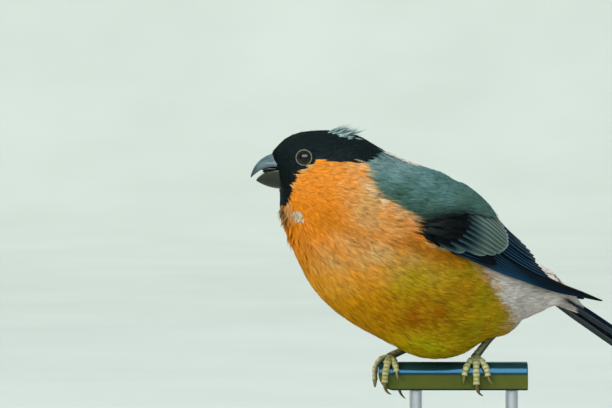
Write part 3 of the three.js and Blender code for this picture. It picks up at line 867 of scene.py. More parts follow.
# Feathers of a few kinds: vertices with x along, y across and z up in shares of length and width,
# triangles, and a shade for each vertex
def makeTufts(shape):
    vary = np.random.default_rng(shape["seed"])
    barbCo, barbTris = makeBarb()
    webCo, webTris = makeWeb()
    barbs = shape["barbs"]
    kinds = []
    for _ in range(shape["kinds"]):
        verts, tris, shade, count = [], [], [], 0
        if shape["web"]:
            web = webCo * shape["web"] + [0, 0, -0.02]
            verts, tris, shade, count = [web], [webTris], [np.full(len(web), 0.9)], len(web)
        phase = vary.uniform(0, 2 * math.pi)
        for i in range(barbs):
            q = (i + 0.5) / barbs * 2 - 1 + vary.uniform(-0.09, 0.09)
            root = np.array([0.04 + shape["rootSpan"] * vary.uniform(0, 1), 0.22 * q, 0])
            reach = 1 - 0.22 * abs(q) ** 1.5 + vary.uniform(-0.25, 0.06)
            tip = np.array([reach, 0.5 * q * shape["spread"], vary.uniform(-0.03, 0.06)])
            bend = root * 0.5 + tip * 0.5 + [0.02, 0.08 * q, vary.uniform(0.0, 0.05)]
            s = barbCo[:, 0]
            wide = shape["barbWidth"] * vary.uniform(0.7, 1.3)
            verts.append(bezier(root, bend, tip, s) + barbCo * [0, wide, wide * 0.35])
            tris.append(barbTris + count)
            count += len(barbCo)
            # neighbouring barbs share a tone, so that streaks show
            tone = 1 + shape["streak"] * (math.sin(4.2 * q + phase) + vary.uniform(-0.5, 0.5))
            shade.append((0.93 + 0.07 * s) * tone)
        verts = np.vstack(verts)
        verts[:, 2] -= 0.4 * verts[:, 1] ** 2  # the sides hug the body
        kinds.append((verts, np.vstack(tris), np.concatenate(shade)))
    return kinds


def treeOf(co, tris):
    return BVHTree.FromPolygons(co.tolist(), tris.tolist())


def nearestTree(places):
    tree = KDTree(len(places))
    for i, place in enumerate(places):
        tree.insert(place, i)
    tree.balance()
    return tree


# What the coat grows on and lies against
class Ground:
    def __init__(self, skin, others):
        self.onWings = False
        self.co, self.tris, self.normals = meshData(skin)
        uv = np.empty(len(skin.data.loops) * 2)
        skin.data.uv_layers["OFBake"].data.foreach_get("uv", uv)
        loops = np.empty(len(skin.data.loop_triangles) * 3, int)
        skin.data.loop_triangles.foreach_get("loops", loops)
        self.uv = uv.reshape(-1, 2)[loops.reshape(-1, 3)]
        self.tree = treeOf(self.co, self.tris)
        parts, faces, count = [self.co], [self.tris], len(self.co)
        for other in others:
            co, tris, _ = meshData(other)
            parts.append(co)
            faces.append(tris + count)
            count += len(co)
        self.wholeTree = treeOf(np.vstack(parts), np.vstack(faces))

    # evenly scattered roots, closer together where the coat's feathers are small
    def scatter(self, spacing):
        corner = self.co[self.tris]
        edges = corner[:, 1:] - corner[:, :1]
        area = np.linalg.norm(np.cross(edges[:, 0], edges[:, 1]), axis=1) / 2
        near = coatAt("spacing", toBird(corner.mean(1))) * spacing * mm
        chances = area / near**2
        total = int(chances.sum() * 3.5)
        face = chance.choice(len(area), total, p=chances / chances.sum())
        a, b = chance.random(total), chance.random(total)
        flip = a + b > 1
        a[flip], b[flip] = 1 - a[flip], 1 - b[flip]
        share = np.stack([1 - a - b, a, b], 1)[:, :, None]
        place = (corner[face] * share).sum(1)
        normal = unit((self.normals[self.tris[face]] * share).sum(1))
        uv = (self.uv[face] * share).sum(1)
        reach = near[face] * 0.82
        tree = nearestTree(place)
        dropped = np.zeros(total, bool)
        kept = []
        for i in range(total):
            if dropped[i]:
                continue
            kept.append(i)
            for _, j, _ in tree.find_range(place[i], reach[i]):
                dropped[j] = True
        return place[kept], normal[kept], uv[kept]

    # the nearest place on the skin, with its normal and its place on the map
    def nearest(self, spot):
        place, _, face, _ = self.tree.find_nearest(Vector(spot))
        return place, self.normals[self.tris[face]].mean(0), self.uv[face].mean(0)


# The lie of the coat in the bird's frame: away from the bill on the head, then towards the tail
def lieAt(points):
    p = straighten(points)
    fromBill = unit(p - stance["billBase"])
    # the upper coat runs more level than the trunk does
    above = np.maximum(p[:, 2] - stance["trunk"][1] - 0.445 * (p[:, 0] - stance["trunk"][0]), 0)
    target = np.asarray(stance["tailRoot"]) + [-14, 0, -4] + above[:, None] * [0, 0, 0.7]
    toTail = unit(target - p)
    behind = np.linalg.norm(p - stance["billBase"], axis=1)
    share = smooth(behind, 8, 82)[:, None]
    way = unit(fromBill * (1 - share) + toTail * share)
    # feathers run level across the side of the neck
    x, _, z = p.T
    way[:, 2] += 0.24 * smooth(x, 36, 26) * smooth(x, 0, 8) * smooth(z, 42, 52)
    way = unit(way)
    return spun(way, -headTurnAt(p))


# Where feathers come to rest: the outermost surface under each point, looking down along its normal
def restOn(ground, points, normals, climbs, above=4.0):
    places, faces = np.empty((len(points), 3)), np.empty((len(points), 3))
    for i, (p, n) in enumerate(zip(points, normals)):
        tree = ground.wholeTree if climbs[i] else ground.tree
        n = Vector(n)
        p = Vector(p)
        place, normal, _, _ = tree.ray_cast(p + n * above * mm, -n, 3 * above * mm)
        if place is None or normal.dot(n) < 0.2:
            place, normal, _, _ = tree.find_nearest(p)
            if normal.dot(n) < 0:
                normal = -normal
        places[i], faces[i] = place, normal
    return places, faces


# Shortens feathers that would reach over the eyes
def clearEyes(place, way, length):
    reach = eye["clear"] * mm
    for lid in lidMiddle.values():
        off = place - lid
        ahead = -(off * way).sum(1)
        inside = reach**2 - ((off * off).sum(1) - ahead**2)
        entry = ahead - np.sqrt(np.maximum(inside, 0))
        meets = (inside > 0) & (entry > 0) & (entry < length)
        length = np.where(meets, np.maximum(entry, 0.4 * mm), length)
    return length


def acrossOf(way, normal):
    way = unit(way - (way * normal).sum(1, keepdims=True) * normal)
    return way, np.cross(normal, way)


# Bends one kind of feather over its roots, middles and tips: places and upward directions, row by row
def bendOver(verts, root, middle, tip, normal, tipNormal, width, roll):
    t = verts[:, 0][None, :, None]
    root, middle, tip = root[:, None], middle[:, None], tip[:, None]
    line = root * (1 - t) * (1 - 2 * t) + middle * 4 * t * (1 - t) + tip * t * (2 * t - 1)
    up = unit(normal[:, None] * (1 - t) + tipNormal[:, None] * t)
    across = unit(np.cross(up, unit(tip - root)))
    across = unit(across + up * roll[:, None])
    w = width[:, None, None]
    p = line + across * (verts[:, 1][None, :, None] * w) + up * (verts[:, 2][None, :, None] * w)
    return p, np.broadcast_to(up, p.shape)


# How a layer of feathers lies: how unruly it is, how far its tips rise, where they point if not along the
# coat, how much their tone varies, and how far they lie above the ones under them
lying = {"ruffle": 1.0, "rise": 0.0, "pointing": None, "tint": 0.045, "lifts": (0.88, 1.05)}


# Lays feathers on the ground and joins each finish's into pieces below the limit of triangles
def layCoat(ground, roots, kinds, sizes, name, paint=None, **changes):
    lie = {**lying, **changes}
    place, normal, uv = roots
    count = len(place)
    bird = toBird(place)
    length, width, depth = (s * mm for s in sizes(bird))
    length = length * chance.uniform(0.8, 1.2, count)
    if lie["pointing"] is None:
        way = spun(lieAt(bird), stance["birdTurn"])
    else:
        way = np.tile(lie["pointing"], (count, 1))
    way, side = acrossOf(way, normal)
    yaw = chance.normal(0, 0.07 * lie["ruffle"], count)
    stray = chance.random(count) < 0.03
    way = unit(way + side * np.where(stray, yaw * 4, yaw)[:, None])
    roll = chance.normal(0, 0.07 * lie["ruffle"], count)[:, None]
    length = clearEyes(place, way, length)
    half = (0.5 * length)[:, None]
    lift = depth * chance.uniform(*lie["lifts"], count)

    # middle and tip come to rest on what is under them
    forward, across, height = toTrunk(bird).T
    climbs = ((forward > shoulder["rear"] - 2) & (aroundTrunk(across, height) < 86)) | ground.onWings
    reached = place + way * half + normal * depth[:, None]
    middlePlace, middleNormal = restOn(ground, reached, normal, climbs)
    middleNormal = unit(middleNormal + normal)
    middle = middlePlace + middleNormal * (lift * 0.8)[:, None]
    ahead = unit(middle - place)
    tipPlace, tipNormal = restOn(ground, middle + ahead * half, middleNormal, climbs)
    tipNormal = unit(tipNormal + middleNormal)
    raised = lift + (lie["rise"] + 0.35 * stray) * mm * chance.uniform(0.6, 1.3, count)
    tip = tipPlace + tipNormal * raised[:, None]
    middle = middle + middleNormal * (0.25 * (raised - lift))[:, None]
    root = place - normal * 0.12 * mm

    colour, finish = (paint or markings)(toBird(tip * 0.6 + middle * 0.4))
    colour = colour * np.clip(chance.normal(1, lie["tint"], count), 0.55, 1.3)[:, None]
    which = chance.integers(0, len(kinds), count)
    perFeather = max(len(faces) for _, faces, _ in kinds)
    made = []
    for kind in coatFinish:
        chosen = np.flatnonzero(finish == kind)
        if not len(chosen):
            continue
        order = chosen[np.argsort(bird[chosen, 0])]
        groups = math.ceil(len(chosen) * perFeather / 195000)
        for g, group in enumerate(np.array_split(order, groups)):
            co, tris, uvs, colours, lies, total = [], [], [], [], [], 0
            for k, (verts, faces, shade) in enumerate(kinds):
                here = group[which[group] == k]
                rowData = (v[here] for v in (root, middle, tip, normal, tipNormal, width, roll))
                p, up = bendOver(verts, *rowData)
                patch = np.stack([verts[:, 0] - 0.5, verts[:, 1]], 1) * 0.003
                starts = (np.arange(len(here)) * len(verts))[:, None, None] + total
                co.append(p.reshape(-1, 3))
                lies.append(up.reshape(-1, 3))
                tris.append((faces[None] + starts).reshape(-1, 3))
                uvs.append((uv[here][:, None] + patch[None]).reshape(-1, 2))
                colours.append((colour[here][:, None] * shade[None, :, None]).reshape(-1, 3))
                total += len(here) * len(verts)
            label = f"{name}_{kind}" + (f"_{g + 1}" if groups > 1 else "")
            piece = solidMesh(label, *(np.vstack(rowsOf) for rowsOf in (co, tris, uvs, colours)))
            softenShading(piece, np.vstack(lies))
            made.append((kind, piece))
    return made


# Barbs are shaded mostly as parts of the body's surface, which keeps the coat soft
def softenShading(piece, lies, share=0.7):
    _, _, own = meshData(piece)
    piece.data.normals_split_custom_set_from_vertices(unit(own * (1 - share) + lies * share))


def solidMesh(name, co, tris, uvs, colours):
    mesh = bpy.data.meshes.new(name)
    mesh.vertices.add(len(co))
    mesh.vertices.foreach_set("co", co.ravel())
    mesh.loops.add(tris.size)
    mesh.loops.foreach_set("vertex_index", tris.ravel())
    mesh.polygons.add(len(tris))
    mesh.polygons.foreach_set("loop_start", np.arange(0, tris.size, 3))
    mesh.polygons.foreach_set("loop_total", np.full(len(tris), 3))
    mesh.update(calc_edges=True)
    mesh.polygons.foreach_set("use_smooth", np.ones(len(tris), bool))
    layer = mesh.uv_layers.new(name="OFBake")
    layer.data.foreach_set("uv", np.clip(uvs, 0, 1)[tris.ravel()].ravel())
    piece = bpy.data.objects.new(name, mesh)
    bpy.context.scene.collection.objects.link(piece)
    paintPoints(piece, colours)
    return piece


# Each finish's material, roughness, sheen and the sheen's colour
coatFinish = {
    "orange": ("plumage_orange", 0.8, 0.0, (1.0, 0.6, 0.2, 1)),
    "grey": ("plumage_grey", 0.75, 0.05, (0.7, 0.9, 1.0, 1)),
    "black": ("plumage_black", 0.5, 0.01, (0.3, 0.6, 1.0, 1)),
    "white": ("plumage_white", 0.75, 0.1, (1.0, 0.95, 0.9, 1)),
}


def makeFeatherMaterial(name, roughness, sheen, tint):
    made = Material(name, {
        "Roughness": roughness, "Specular IOR Level": 0.055,
        "Sheen Weight": sheen, "Sheen Tint": tint, "Sheen Roughness": 0.4,
    })
    made.painted(0.5, made.noise(scale=160, detail=2), (0.72, 0.72, 0.72))
    made.bump(made.noise(scale=2600, detail=2), 0.03, 0.3)
    return made.made


# Roots under a wing or around an eye carry no feather
def freeOf(wings, roots, reach=4.0):
    places, normals, _ = roots
    free = np.ones(len(places), bool)
    for wingPiece in wings:
        co, tris, _ = meshData(wingPiece)
        tree = treeOf(co, tris)
        for i, (p, n) in enumerate(zip(places, normals)):
            if free[i] and tree.ray_cast(Vector(p), Vector(n), reach * mm)[0] is not None:
                free[i] = False
    for lid in lidMiddle.values():
        free &= np.linalg.norm(places - lid, axis=1) > eye["clear"] * mm
    return tuple(r[free] for r in roots)


# Scapulars grow over the folded wings' bases: rows round the back
scapular = {
    "from": 8, "to": -11, "step": 1.0, "angle": 54, "turn": 2.2, "length": 9.5, "width": 1.9, "depth": 0.55,
    "lift": ((-2, 2.2), (4, 1.0), (8, -0.4)),
}


def scapularRoots(ground):
    places, normals = [], []
    x = scapular["from"]
    while x > scapular["to"]:
        reach = scapular["angle"] - 1.1 * max(-x, 0)
        for angle in np.arange(-reach, reach, scapular["turn"]):
            at = x + chance.normal(0, 0.5), angle + chance.normal(0, 0.9)
            lift = readOff(scapular["lift"], at[0])
            place, above = toStand(sheetPoint(*at, [lift, lift + 1]))
            places.append(place)
            normals.append(unit(above - place))
        x -= scapular["step"]
    uv = [ground.nearest(place)[2] for place in places]
    return np.array(places), np.array(normals), np.array(uv)


def scapularSizes(p):
    return tuple(np.full(len(p), scapular[key]) for key in ("length", "width", "depth"))


# Pale feathers that the wind lifts on the crown, and loose ones on the throat: a row of roots from one
# place to another on a bird that looks ahead, how far they scatter, how many, length, rise, colour and,
# where it isn't the coat's own, the way they point
loose = (
    ((35.0, 1.6, 77.4), (30.2, 2.2, 77.4), 0.8, 46, 5.4, 2.7, "pale", None),
    ((36.5, 3.2, 77.2), (30.0, 6.2, 75.4), 0.7, 34, 4.4, 0.4, "pale", None),
    # the white row along the nape stands for a painted rim of light on its outline
    ((18.6, 3.6, 72.6), (9.5, 4.4, 68.2), 0.35, 64, 4.2, 0.7, "white", None),
    ((49.0, 3.0, 54.4), (47.8, 4.5, 51.6), 1.2, 40, 3.2, 1.7, "tan", None),
    ((46.6, 9.0, 53.6), (45.0, 10.6, 51.8), 0.7, 26, 2.8, 0.6, "cream", None),
    ((48.0, 3.0, 49.5), (46.6, 3.5, 46.5), 1.4, 26, 5.0, 1.5, None, None),
    ((44, 6, 45), (42, 8, 40), 1.6, 12, 6.0, 0.9, None, None),
    ((50.5, 1.0, 72), (50, 4.5, 69), 0.5, 26, 2.8, 0.3, "covert", (1, 0.1, -0.45)),
    ((50.5, -1.0, 72), (50, -4.5, 69), 0.5, 26, 2.8, 0.3, "covert", (1, -0.1, -0.45)),
    ((47.8, 5.6, 66.4), (46.6, 6.2, 61), 0.5, 26, 1.9, 0.2, "covert", (0.6, 0.3, -0.6)),
    ((47.8, -5.6, 66.4), (46.6, -6.2, 61), 0.5, 26, 1.9, 0.2, "covert", (0.6, -0.3, -0.6)),
)


looseFinish = {"pale": "grey", "white": "white", "covert": "black"}


def makeLoose(ground, kinds):
    pieces = []
    for i, (start, end, scatter, count, length, rise, tone, pointing) in enumerate(loose):
        k = chance.random(count)[:, None]
        spots = mixed(np.asarray(start), np.asarray(end), k) + chance.normal(0, scatter, (count, 3))
        places, normals, uv = zip(*(ground.nearest(spot) for spot in toStand(unstraighten(spots))))

        def sizes(p, size=length):
            return np.full(len(p), size), np.full(len(p), 1.5), coatDepth(p)

        def paint(p, tone=tone):
            colour = np.asarray(plumage[tone]) * chance.uniform(0.45, 1.1, len(p))[:, None]
            return colour, np.full(len(p), looseFinish.get(tone, "orange"), object)

        if pointing:
            pointing = spun([pointing], stance["birdTurn"] - stance["headTurn"])
        roots = np.array(places), unit(np.array(normals)), np.array(uv)
        pieces += layCoat(
            ground, roots, kinds, sizes, f"loose{i + 1}", paint if tone else None,
            ruffle=3.0, rise=rise, pointing=pointing,
        )
    return pieces


def coatSizes(p):
    return coatAt("length", p), coatAt("width", p), coatDepth(p)


def makeCoat(skin, wings, tailPiece):
    ground = Ground(skin, wings + [tailPiece])
    tufts, strands = makeTufts(tuft), makeTufts(strand)
    roots = freeOf(wings, ground.scatter(1))
    print("feathers:", len(roots[0]))
    pieces = layCoat(ground, roots, tufts, coatSizes, "coat")
    roots = freeOf(wings, ground.scatter(strand["spacing"]))
    print("strands:", len(roots[0]))
    pieces += layCoat(
        ground, roots, strands, coatSizes, "strands", tint=strand["tint"], lifts=strand["lifts"]
    )
    ground.onWings = True
    roots = scapularRoots(ground)
    print("scapulars:", len(roots[0]))
    pieces += layCoat(ground, roots, tufts, scapularSizes, "scapulars")
    pieces += makeLoose(ground, tufts)
    finishes = {kind: makeFeatherMaterial(*finish) for kind, finish in coatFinish.items()}
    dress(finishes["orange"], skin)
    for kind, piece in pieces:
        dress(finishes[kind], keep(piece, "plumage_" + kind))
    print("coat:", len(pieces), "pieces,", sum(len(p.data.polygons) for _, p in pieces), "triangles")


# Flight feathers and coverts: one blade is modelled flat, then laid along the sheet or the tail
blade = {"along": 16, "across": 10, "thick": 0.17, "camber": 0.10, "shaft": 0.09}


def makeBlade():
    clearSelection()
    bpy.ops.mesh.primitive_grid_add(x_subdivisions=blade["along"], y_subdivisions=blade["across"], size=1)
    flat = bpy.context.object
    co = getCo(flat)
    # rows come closer towards the tip, and columns towards the edges
    t = 1 - (1 - (co[:, 0] + 0.5)) ** 1.5
    v = np.sin(co[:, 1] * np.pi) / 2
    setCo(flat, np.stack([t, v, 0 * t], 1))
    applyModifier(flat, "SOLIDIFY", thickness=0.01, offset=0)
    co, tris = takeArrays(flat)
    return co[:, 0], co[:, 1], np.sign(co[:, 2]), tris


# Half width along a blade as a share: root is the share at its start, tip the length that is rounded
def bladeOutline(t, root, tip):
    near = root + (1 - root) * smooth(t, 0, 0.35)
    far = np.clip((t - (1 - tip)) / tip, 0, 1)
    return near * np.sqrt(np.maximum(1 - far**2, 0.006))


# Collects blades into one piece, with a colour and a place on the vane for each vertex
class Blades:
    def __init__(self):
        self.t, self.v, self.h, self.faces = makeBlade()
        self.co, self.tris, self.paint, self.uv, self.count = [], [], [], [], 0

    # middle line, side and outward directions for each vertex, in the bird's millimetres
    def lay(self, middle, side, out, width, tone, root=0.5, tip=0.3):
        t, v, h = self.t, self.v, self.h
        wide = width * bladeOutline(t, root, tip)
        ridge = blade["shaft"] * np.exp(-((v / 0.07) ** 2)) * (1 - 0.7 * t)
        arch = -blade["camber"] * width * (2 * v) ** 2 * 0.5
        lift = arch + ridge * (h > 0) + h * blade["thick"] / 2 * (1 - 0.5 * np.abs(2 * v))
        p = middle + side * (v * wide)[:, None] + out * lift[:, None]
        self.co.append(p)
        self.tris.append(self.faces + self.count)
        self.count += len(p)
        self.paint.append(tone(t, 2 * v))
        length = np.linalg.norm(middle[np.argmax(t)] - middle[np.argmin(t)])
        self.uv.append(np.stack([t * length, v * wide], 1) / 10 + [0, len(self.co) * 3.0])

    def onSheet(self, start, end, width, tone, lean, bulge=0.0, **outline):
        t = self.t
        start, end = np.asarray(start, float), np.asarray(end, float)

        def at(s, turn=0.0):
            x, angle, lift = mixed(start, end, s[:, None]).T
            return sheetPoint(x, angle + bulge * np.sin(np.pi * s) + turn, lift)

        ahead = unit(at(np.minimum(t + 0.02, 1)) - at(np.maximum(t - 0.02, 0)))
        down = unit(at(t, 1.0) - at(t, -1.0))
        side = unit(down - (down * ahead).sum(1, keepdims=True) * ahead)
        out = unit(np.cross(side, ahead))
        a = math.radians(lean)
        side = side * math.cos(a) + out * math.sin(a)
        out = unit(np.cross(side, ahead))
        self.lay(at(t), side, out, width, tone, **outline)

    def finish(self, name, mirror=False):
        co, tris = np.vstack(self.co), np.vstack(self.tris)
        if mirror:
            co = co * [1, -1, 1]
            tris = tris[:, ::-1]
        piece = solidMesh(name, toStand(co), tris, np.zeros((len(co), 2)), np.vstack(self.paint))
        layer = piece.data.uv_layers[0]
        layer.name = "vane"
        layer.data.foreach_set("uv", np.vstack(self.uv)[tris.ravel()].ravel())
        pick(piece)
        editAll()
        bpy.ops.mesh.normals_make_consistent(inside=False)
        doneEditing()
        bpy.ops.object.shade_smooth_by_angle(angle=math.radians(50))
        return piece


featherTone = {
    "black": (0.0020, 0.0030, 0.0040),
    # gloss and edge are painted blue sheen on the vanes' outer webs
    "gloss": (0.026, 0.105, 0.200),
    "edge": (0.045, 0.105, 0.120),
    "bar": (0.115, 0.175, 0.140),
    "fringe": (0.36, 0.46, 0.42),
}


def toned(base, edge, share):
    return blend(np.asarray(featherTone[base]), np.asarray(featherTone[edge]), share)


# Tones by the place along a blade, and across it from -1 to 1: the outer web's painted blue sheen grows
# towards its edge
def remexTone(t, v):
    return toned("black", "gloss", smooth(v, 0.84, 0.94) * smooth(t, 0.05, 0.4))


# the primaries' painted sheen fades towards the tip
def primaryTone(t, v):
    fading = 0.75 - 0.6 * smooth(t, 0.4, 0.75)
    return toned("black", "gloss", smooth(v, 0.89, 0.95) * smooth(t, 0.05, 0.3) * fading)


# the tail's painted blue sheen grows towards both edges
def rectrixTone(t, v):
    return toned("black", "gloss", 0.35 * smooth(np.abs(v), 0.2, 1.0))


# black at the base with a painted blue-grey sheen near its outer edge, a broad pale tip, which starts at a
# share of the length, and a whitish fringe
def greaterTone(start):
    def tone(t, v):
        base = toned("black", "edge", smooth(v, 0.74, 0.92) * smooth(t, 0.1, 0.4))
        streak = 1 - 0.45 * smooth(v, -0.2, 0.6) * smooth(v, 0.95, 0.7)
        bar = np.asarray(featherTone["bar"]) * streak[:, None]
        fringe = np.maximum(smooth(t, 0.94, 1.0), 0.45 * smooth(np.abs(v), 0.8, 1))
        tip = blend(bar, np.asarray(featherTone["fringe"]), fringe)
        return blend(base, tip, smooth(t - 0.14 * np.abs(v), start - 0.16, start + 0.12))

    return tone


# The rows of the folded wing in the order they are laid: how many, whether the lowest comes first, width,
# tone, root and tip of the uppermost and of the lowest as trunk x, angle and lift, and the blade's shape
wing = {
    "primaries": (
        9, False, 4.6, primaryTone, ((-2, 62, 1.0), (-2, 88, 0.5)), ((-42, 58, 0.55), (-67, 57, 0.0)),
        {"bulge": 6, "lean": 10, "root": 0.6, "tip": 0.45},
    ),
    "secondaries": (
        6, True, 5.0, remexTone, ((-2, 42, 1.5), (-2, 63, 0.9)), ((-37, 33, 1.6), (-44, 54, 0.7)),
        {"lean": 9, "root": 0.6, "tip": 0.45},
    ),
    "tertials": (
        5, True, 7.0, remexTone, ((-4, 18, 3.0), (-4, 42, 2.0)), ((-33, 14, 3.4), (-38, 36, 2.0)),
        {"lean": 6, "root": 0.7, "tip": 0.42},
    ),
    "primaryCoverts": (
        6, False, 3.4, primaryTone, ((2, 76, 1.0), (2, 88, 1.0)), ((-16, 74, 1.15), (-20, 84, 1.15)),
        {"lean": 10, "tip": 0.4},
    ),
    "greaterCoverts": (
        13, True, 5.6, None, ((0, 24, 0.35), (6, 84, 1.9)), ((-21, 28, 3.5), (-4, 83, 1.8)),
        {"lean": 6, "tip": 0.3},
    ),
}
# Round the side: where the greater coverts end, and where along each the pale tip starts
greaterEnd = ((28, -21), (40, -23), (57, -22.8), (68, -20.5), (77, -16.5), (81, -10), (84, -4))
greaterPale = ((28, 0.05), (40, 0.2), (52, 0.36), (63, 0.46), (77, 0.58), (84, 0.68))


def makeWing(name, mirror):
    feathers = Blades()
    for row, (count, lowestFirst, width, tone, roots, tips, shape) in wing.items():
        shares = [i / (count - 1) for i in range(count)]
        for k in reversed(shares) if lowestFirst else shares:
            root, tip = (mixed(np.array(upper, float), np.array(lower), k) for upper, lower in (roots, tips))
            if row == "primaries":
                # the outermost lie closest together
                root[1] = mixed(roots[0][1], roots[1][1], 1 - (1 - k) ** 1.6)
                tip[0] = mixed(tips[0][0], tips[1][0], k**0.8)
            elif row == "tertials":
                tip[0] = mixed(tips[1][0], tips[0][0], (1 - k) ** 1.5)
            elif row == "greaterCoverts":
                tip[0] = readOff(greaterEnd, tip[1])
                tone = greaterTone(readOff(greaterPale, tip[1]))
            feathers.onSheet(root, tip, width, tone, **shape)
    return keep(feathers.finish(name, mirror), "flight_feathers", name)


tail = {"pitch": 32, "pairs": 6, "width": 7.4, "step": 0.45, "length": 54, "rootLength": 12}
# Middle of the tail's root and the body's last ring, as in the frame
tailRoot = {"upper": (-43.0, 33.0), "lower": (-39.5, 23.8), "half": 7.4, "gap": 0.3}
tailUpper, tailLower = np.array(tailRoot["upper"]), np.array(tailRoot["lower"])


def tailPlace(along, across, high):
    along, across, high = np.broadcast_arrays(*(np.asarray(v, float) for v in (along, across, high)))
    rise = unit(tailUpper - tailLower)
    start = (tailUpper + tailLower) / 2 + np.array([-rise[1], rise[0]]) * tailRoot["gap"]
    a = math.radians(tail["pitch"])
    x = start[0] - along * math.cos(a) - high * math.sin(a)
    z = start[1] - along * math.sin(a) + high * math.cos(a)
    return np.stack([x, across, z], -1)


def makeTail():
    feathers = Blades()
    a = math.radians(tail["pitch"])
    t = feathers.t
    out = np.tile([-math.sin(a), 0, math.cos(a)], (len(t), 1))
    for i in range(tail["pairs"]):
        # the middle pair lies on top, and the outermost is a little shorter than the rest
        k = i / (tail["pairs"] - 1)
        length = tail["length"] - 3.2 * (1 - k) ** 1.5 - (1.2 if k == 1 else 0)
        for side in (1, -1):
            high = 0.4 - tail["step"] * (i + (0.5 if side < 0 else 0))
            middle = tailPlace(3 + (length - 3) * t, side * (1 + i * (0.75 + 0.45 * t)), high)
            across = np.tile([0.0, side, 0.0], (len(t), 1))
            feathers.lay(middle, across, out, tail["width"], rectrixTone, root=0.5, tip=0.09)
    return keep(feathers.finish("tail_feathers"), "flight_feathers", "tail")


# Flesh of the tail's root, which carries the white coverts
def makeTailRoot():
    middle, rise = (tailUpper + tailLower) / 2, (tailUpper - tailLower) / 2

    def at(along, angle):
        x, z = (middle[i] + rise[i] * np.cos(angle) for i in (0, 1))
        near = np.stack([x, tailRoot["half"] * np.sin(angle), z], 1) + [1.5, 0, 0.6]
        far = tailPlace(tail["rootLength"] + 3, 5.4 * np.sin(angle), 1.4 * np.cos(angle) - 0.8)
        return toStand(mixed(near, far, along[:, None]))

    return loft("tail root", 10, 20, at)


def makeVaneMaterial():
    made = Material("flight_feathers", {
        "Roughness": 0.42, "Specular IOR Level": 0.03,
        "Sheen Weight": 0.01, "Sheen Tint": (0.3, 0.55, 1.0, 1),
    })
    made.painted(0.6, made.noise(scale=60, stretch=(1, 6, 1), uv="vane"), (0.55, 0.55, 0.58), 0.35, 0.65)
    # barbs run out from the shaft at an angle
    made.bump(made.wave(scale=7.5, distortion=1.2, uv="vane", turn=(0, 0, math.radians(38))), 0.06, 0.6)
    return made.made


# Profiles of the bill as curves of three points each, forward and up on a bird that looks ahead
bill = {
    "culmen": ((52.6, 70.9), (58.0, 69.2), (59.3, 63.6)),
    "upperEdge": ((49.6, 66.4), (54.6, 68.2), (59.0, 63.5)),
    "lowerEdge": ((47.0, 65.6), (54.0, 66.7), (57.3, 62.9)),
    "gonys": ((47.2, 59.9), (53.0, 59.4), (57.5, 62.4)),
    "upperWide": (5.0, 0.45),  # half widths at the base and the tip
    "lowerWide": (6.3, 0.8),
    "nostril": (53.4, 69.3),
}


def makeBillHalf(name, ridge, edge, wide):
    def at(along, angle):
        arch = np.maximum(np.cos(angle), 0)
        half = mixed(*bill[wide], along**1.2) * (1 - 0.12 * arch)
        low, high = (bezier(*bill[line], along) for line in (edge, ridge))
        p = blend(low, high, arch**1.15)
        if name == "bill_upper":
            # nostrils at the base, a groove behind the cutting edge
            side = np.abs(np.sin(angle)) * half
            spot = np.hypot((p[:, 0] - bill["nostril"][0]) / 0.8, (p[:, 1] - bill["nostril"][1]) / 0.55)
            half = half - 0.5 * np.exp(-(spot**2)) * (side > 1)
            half = half - 0.16 * peak(arch, 0.16, 0.09) * (1 - along)
        return toStand(onHead(np.stack([p[:, 0], half * np.sin(angle), p[:, 1]], 1)))

    piece = loft(name + "_horn", 26, 40, at)
    return keep(piece, "bill_horn", name)


# The tongue and the skin at the corners of the mouth close the gap between the halves
mouth = (((52.0, 0, 66.2), (4.2, 3.3, 0.95)), ((53.2, 0, 65.3), (2.3, 1.5, 0.6)))


def makeMouth():
    parts = []
    for middle, size in mouth:
        part = addSphere(32, 16, 1)
        setCo(part, toStand(onHead(getCo(part) * size + middle)))
        bpy.ops.object.shade_smooth()
        parts.append(part)
    whole = joined("mouth", *parts)
    flesh = Material("mouth_flesh", {"Roughness": 0.45})
    mottle = flesh.ramp(flesh.noise(scale=600), (0.3, (0.010, 0.008, 0.007)), (0.7, (0.035, 0.024, 0.020)))
    flesh.link(mottle, "Base Color")
    flesh.bump(flesh.noise(scale=1500), 0.05, 0.5)
    whole.data.materials.append(flesh.made)
    return keep(whole, "bill_horn")


def makeHorn(name, dark, light):
    made = Material(name, {
        "Roughness": 0.34, "Specular IOR Level": 0.35, "Coat Weight": 0.14, "Coat Roughness": 0.2,
    })
    cloud = made.noise(scale=260, detail=4)
    streak = made.noise(scale=500, stretch=(0.4, 1, 1))
    tint = made.ramp(made.sum(cloud, streak, "MULTIPLY"), (0.1, dark), (0.5, light))
    # paler towards the culmen and darker towards the cutting edges: a painted sky reflection along the top
    # and painted shade below
    top = made.span(made.height(), 0.35, 1.6, (barMiddle + 63) * mm, (barMiddle + 69.5) * mm)
    made.link(made.mix(1.0, tint, top, "MULTIPLY"), "Base Color")
    made.bump(streak, 0.06, 0.4)
    return made.made


# Eyes and lids: the place and size of the dark ring around the eye, how far feathers keep clear of it, the
# ball, and the lids' ring
eye = {
    "place": (43.4, 70.2), "dark": 3.7, "clear": 2.85,
    "radius": 2.9, "iris": 2.35, "pupil": 1.5, "bulge": 0.16, "facing": (0.24, 0.95, 0.12),
    "lid": 2.46, "lidThick": 0.22, "lidRise": 2.05,
}
eyeTone = {"pupil": (0.002, 0.002, 0.002), "iris": (0.022, 0.014, 0.004), "rim": (0.003, 0.002, 0.002)}
lidMiddle = {}  # in metres, once each eye is made


# Puts a mesh that was made facing up at an eye, facing out of the head
def placeAtEye(piece, co, side):
    middle = eyeMiddle[side]
    forward, out, up = eye["facing"]
    facing = spun([(forward, out if side == "left" else -out, up)], -stance["headTurn"])
    way = (Vector(toStand(toBird([middle]) + facing)[0]) - middle).normalized()
    lidMiddle[side] = np.array(middle + way * eye["lidRise"] * mm)
    turn = way.to_track_quat("Z", "Y").to_matrix()
    setCo(piece, co @ np.array(turn).T + np.array(middle))
    bpy.ops.object.shade_smooth()


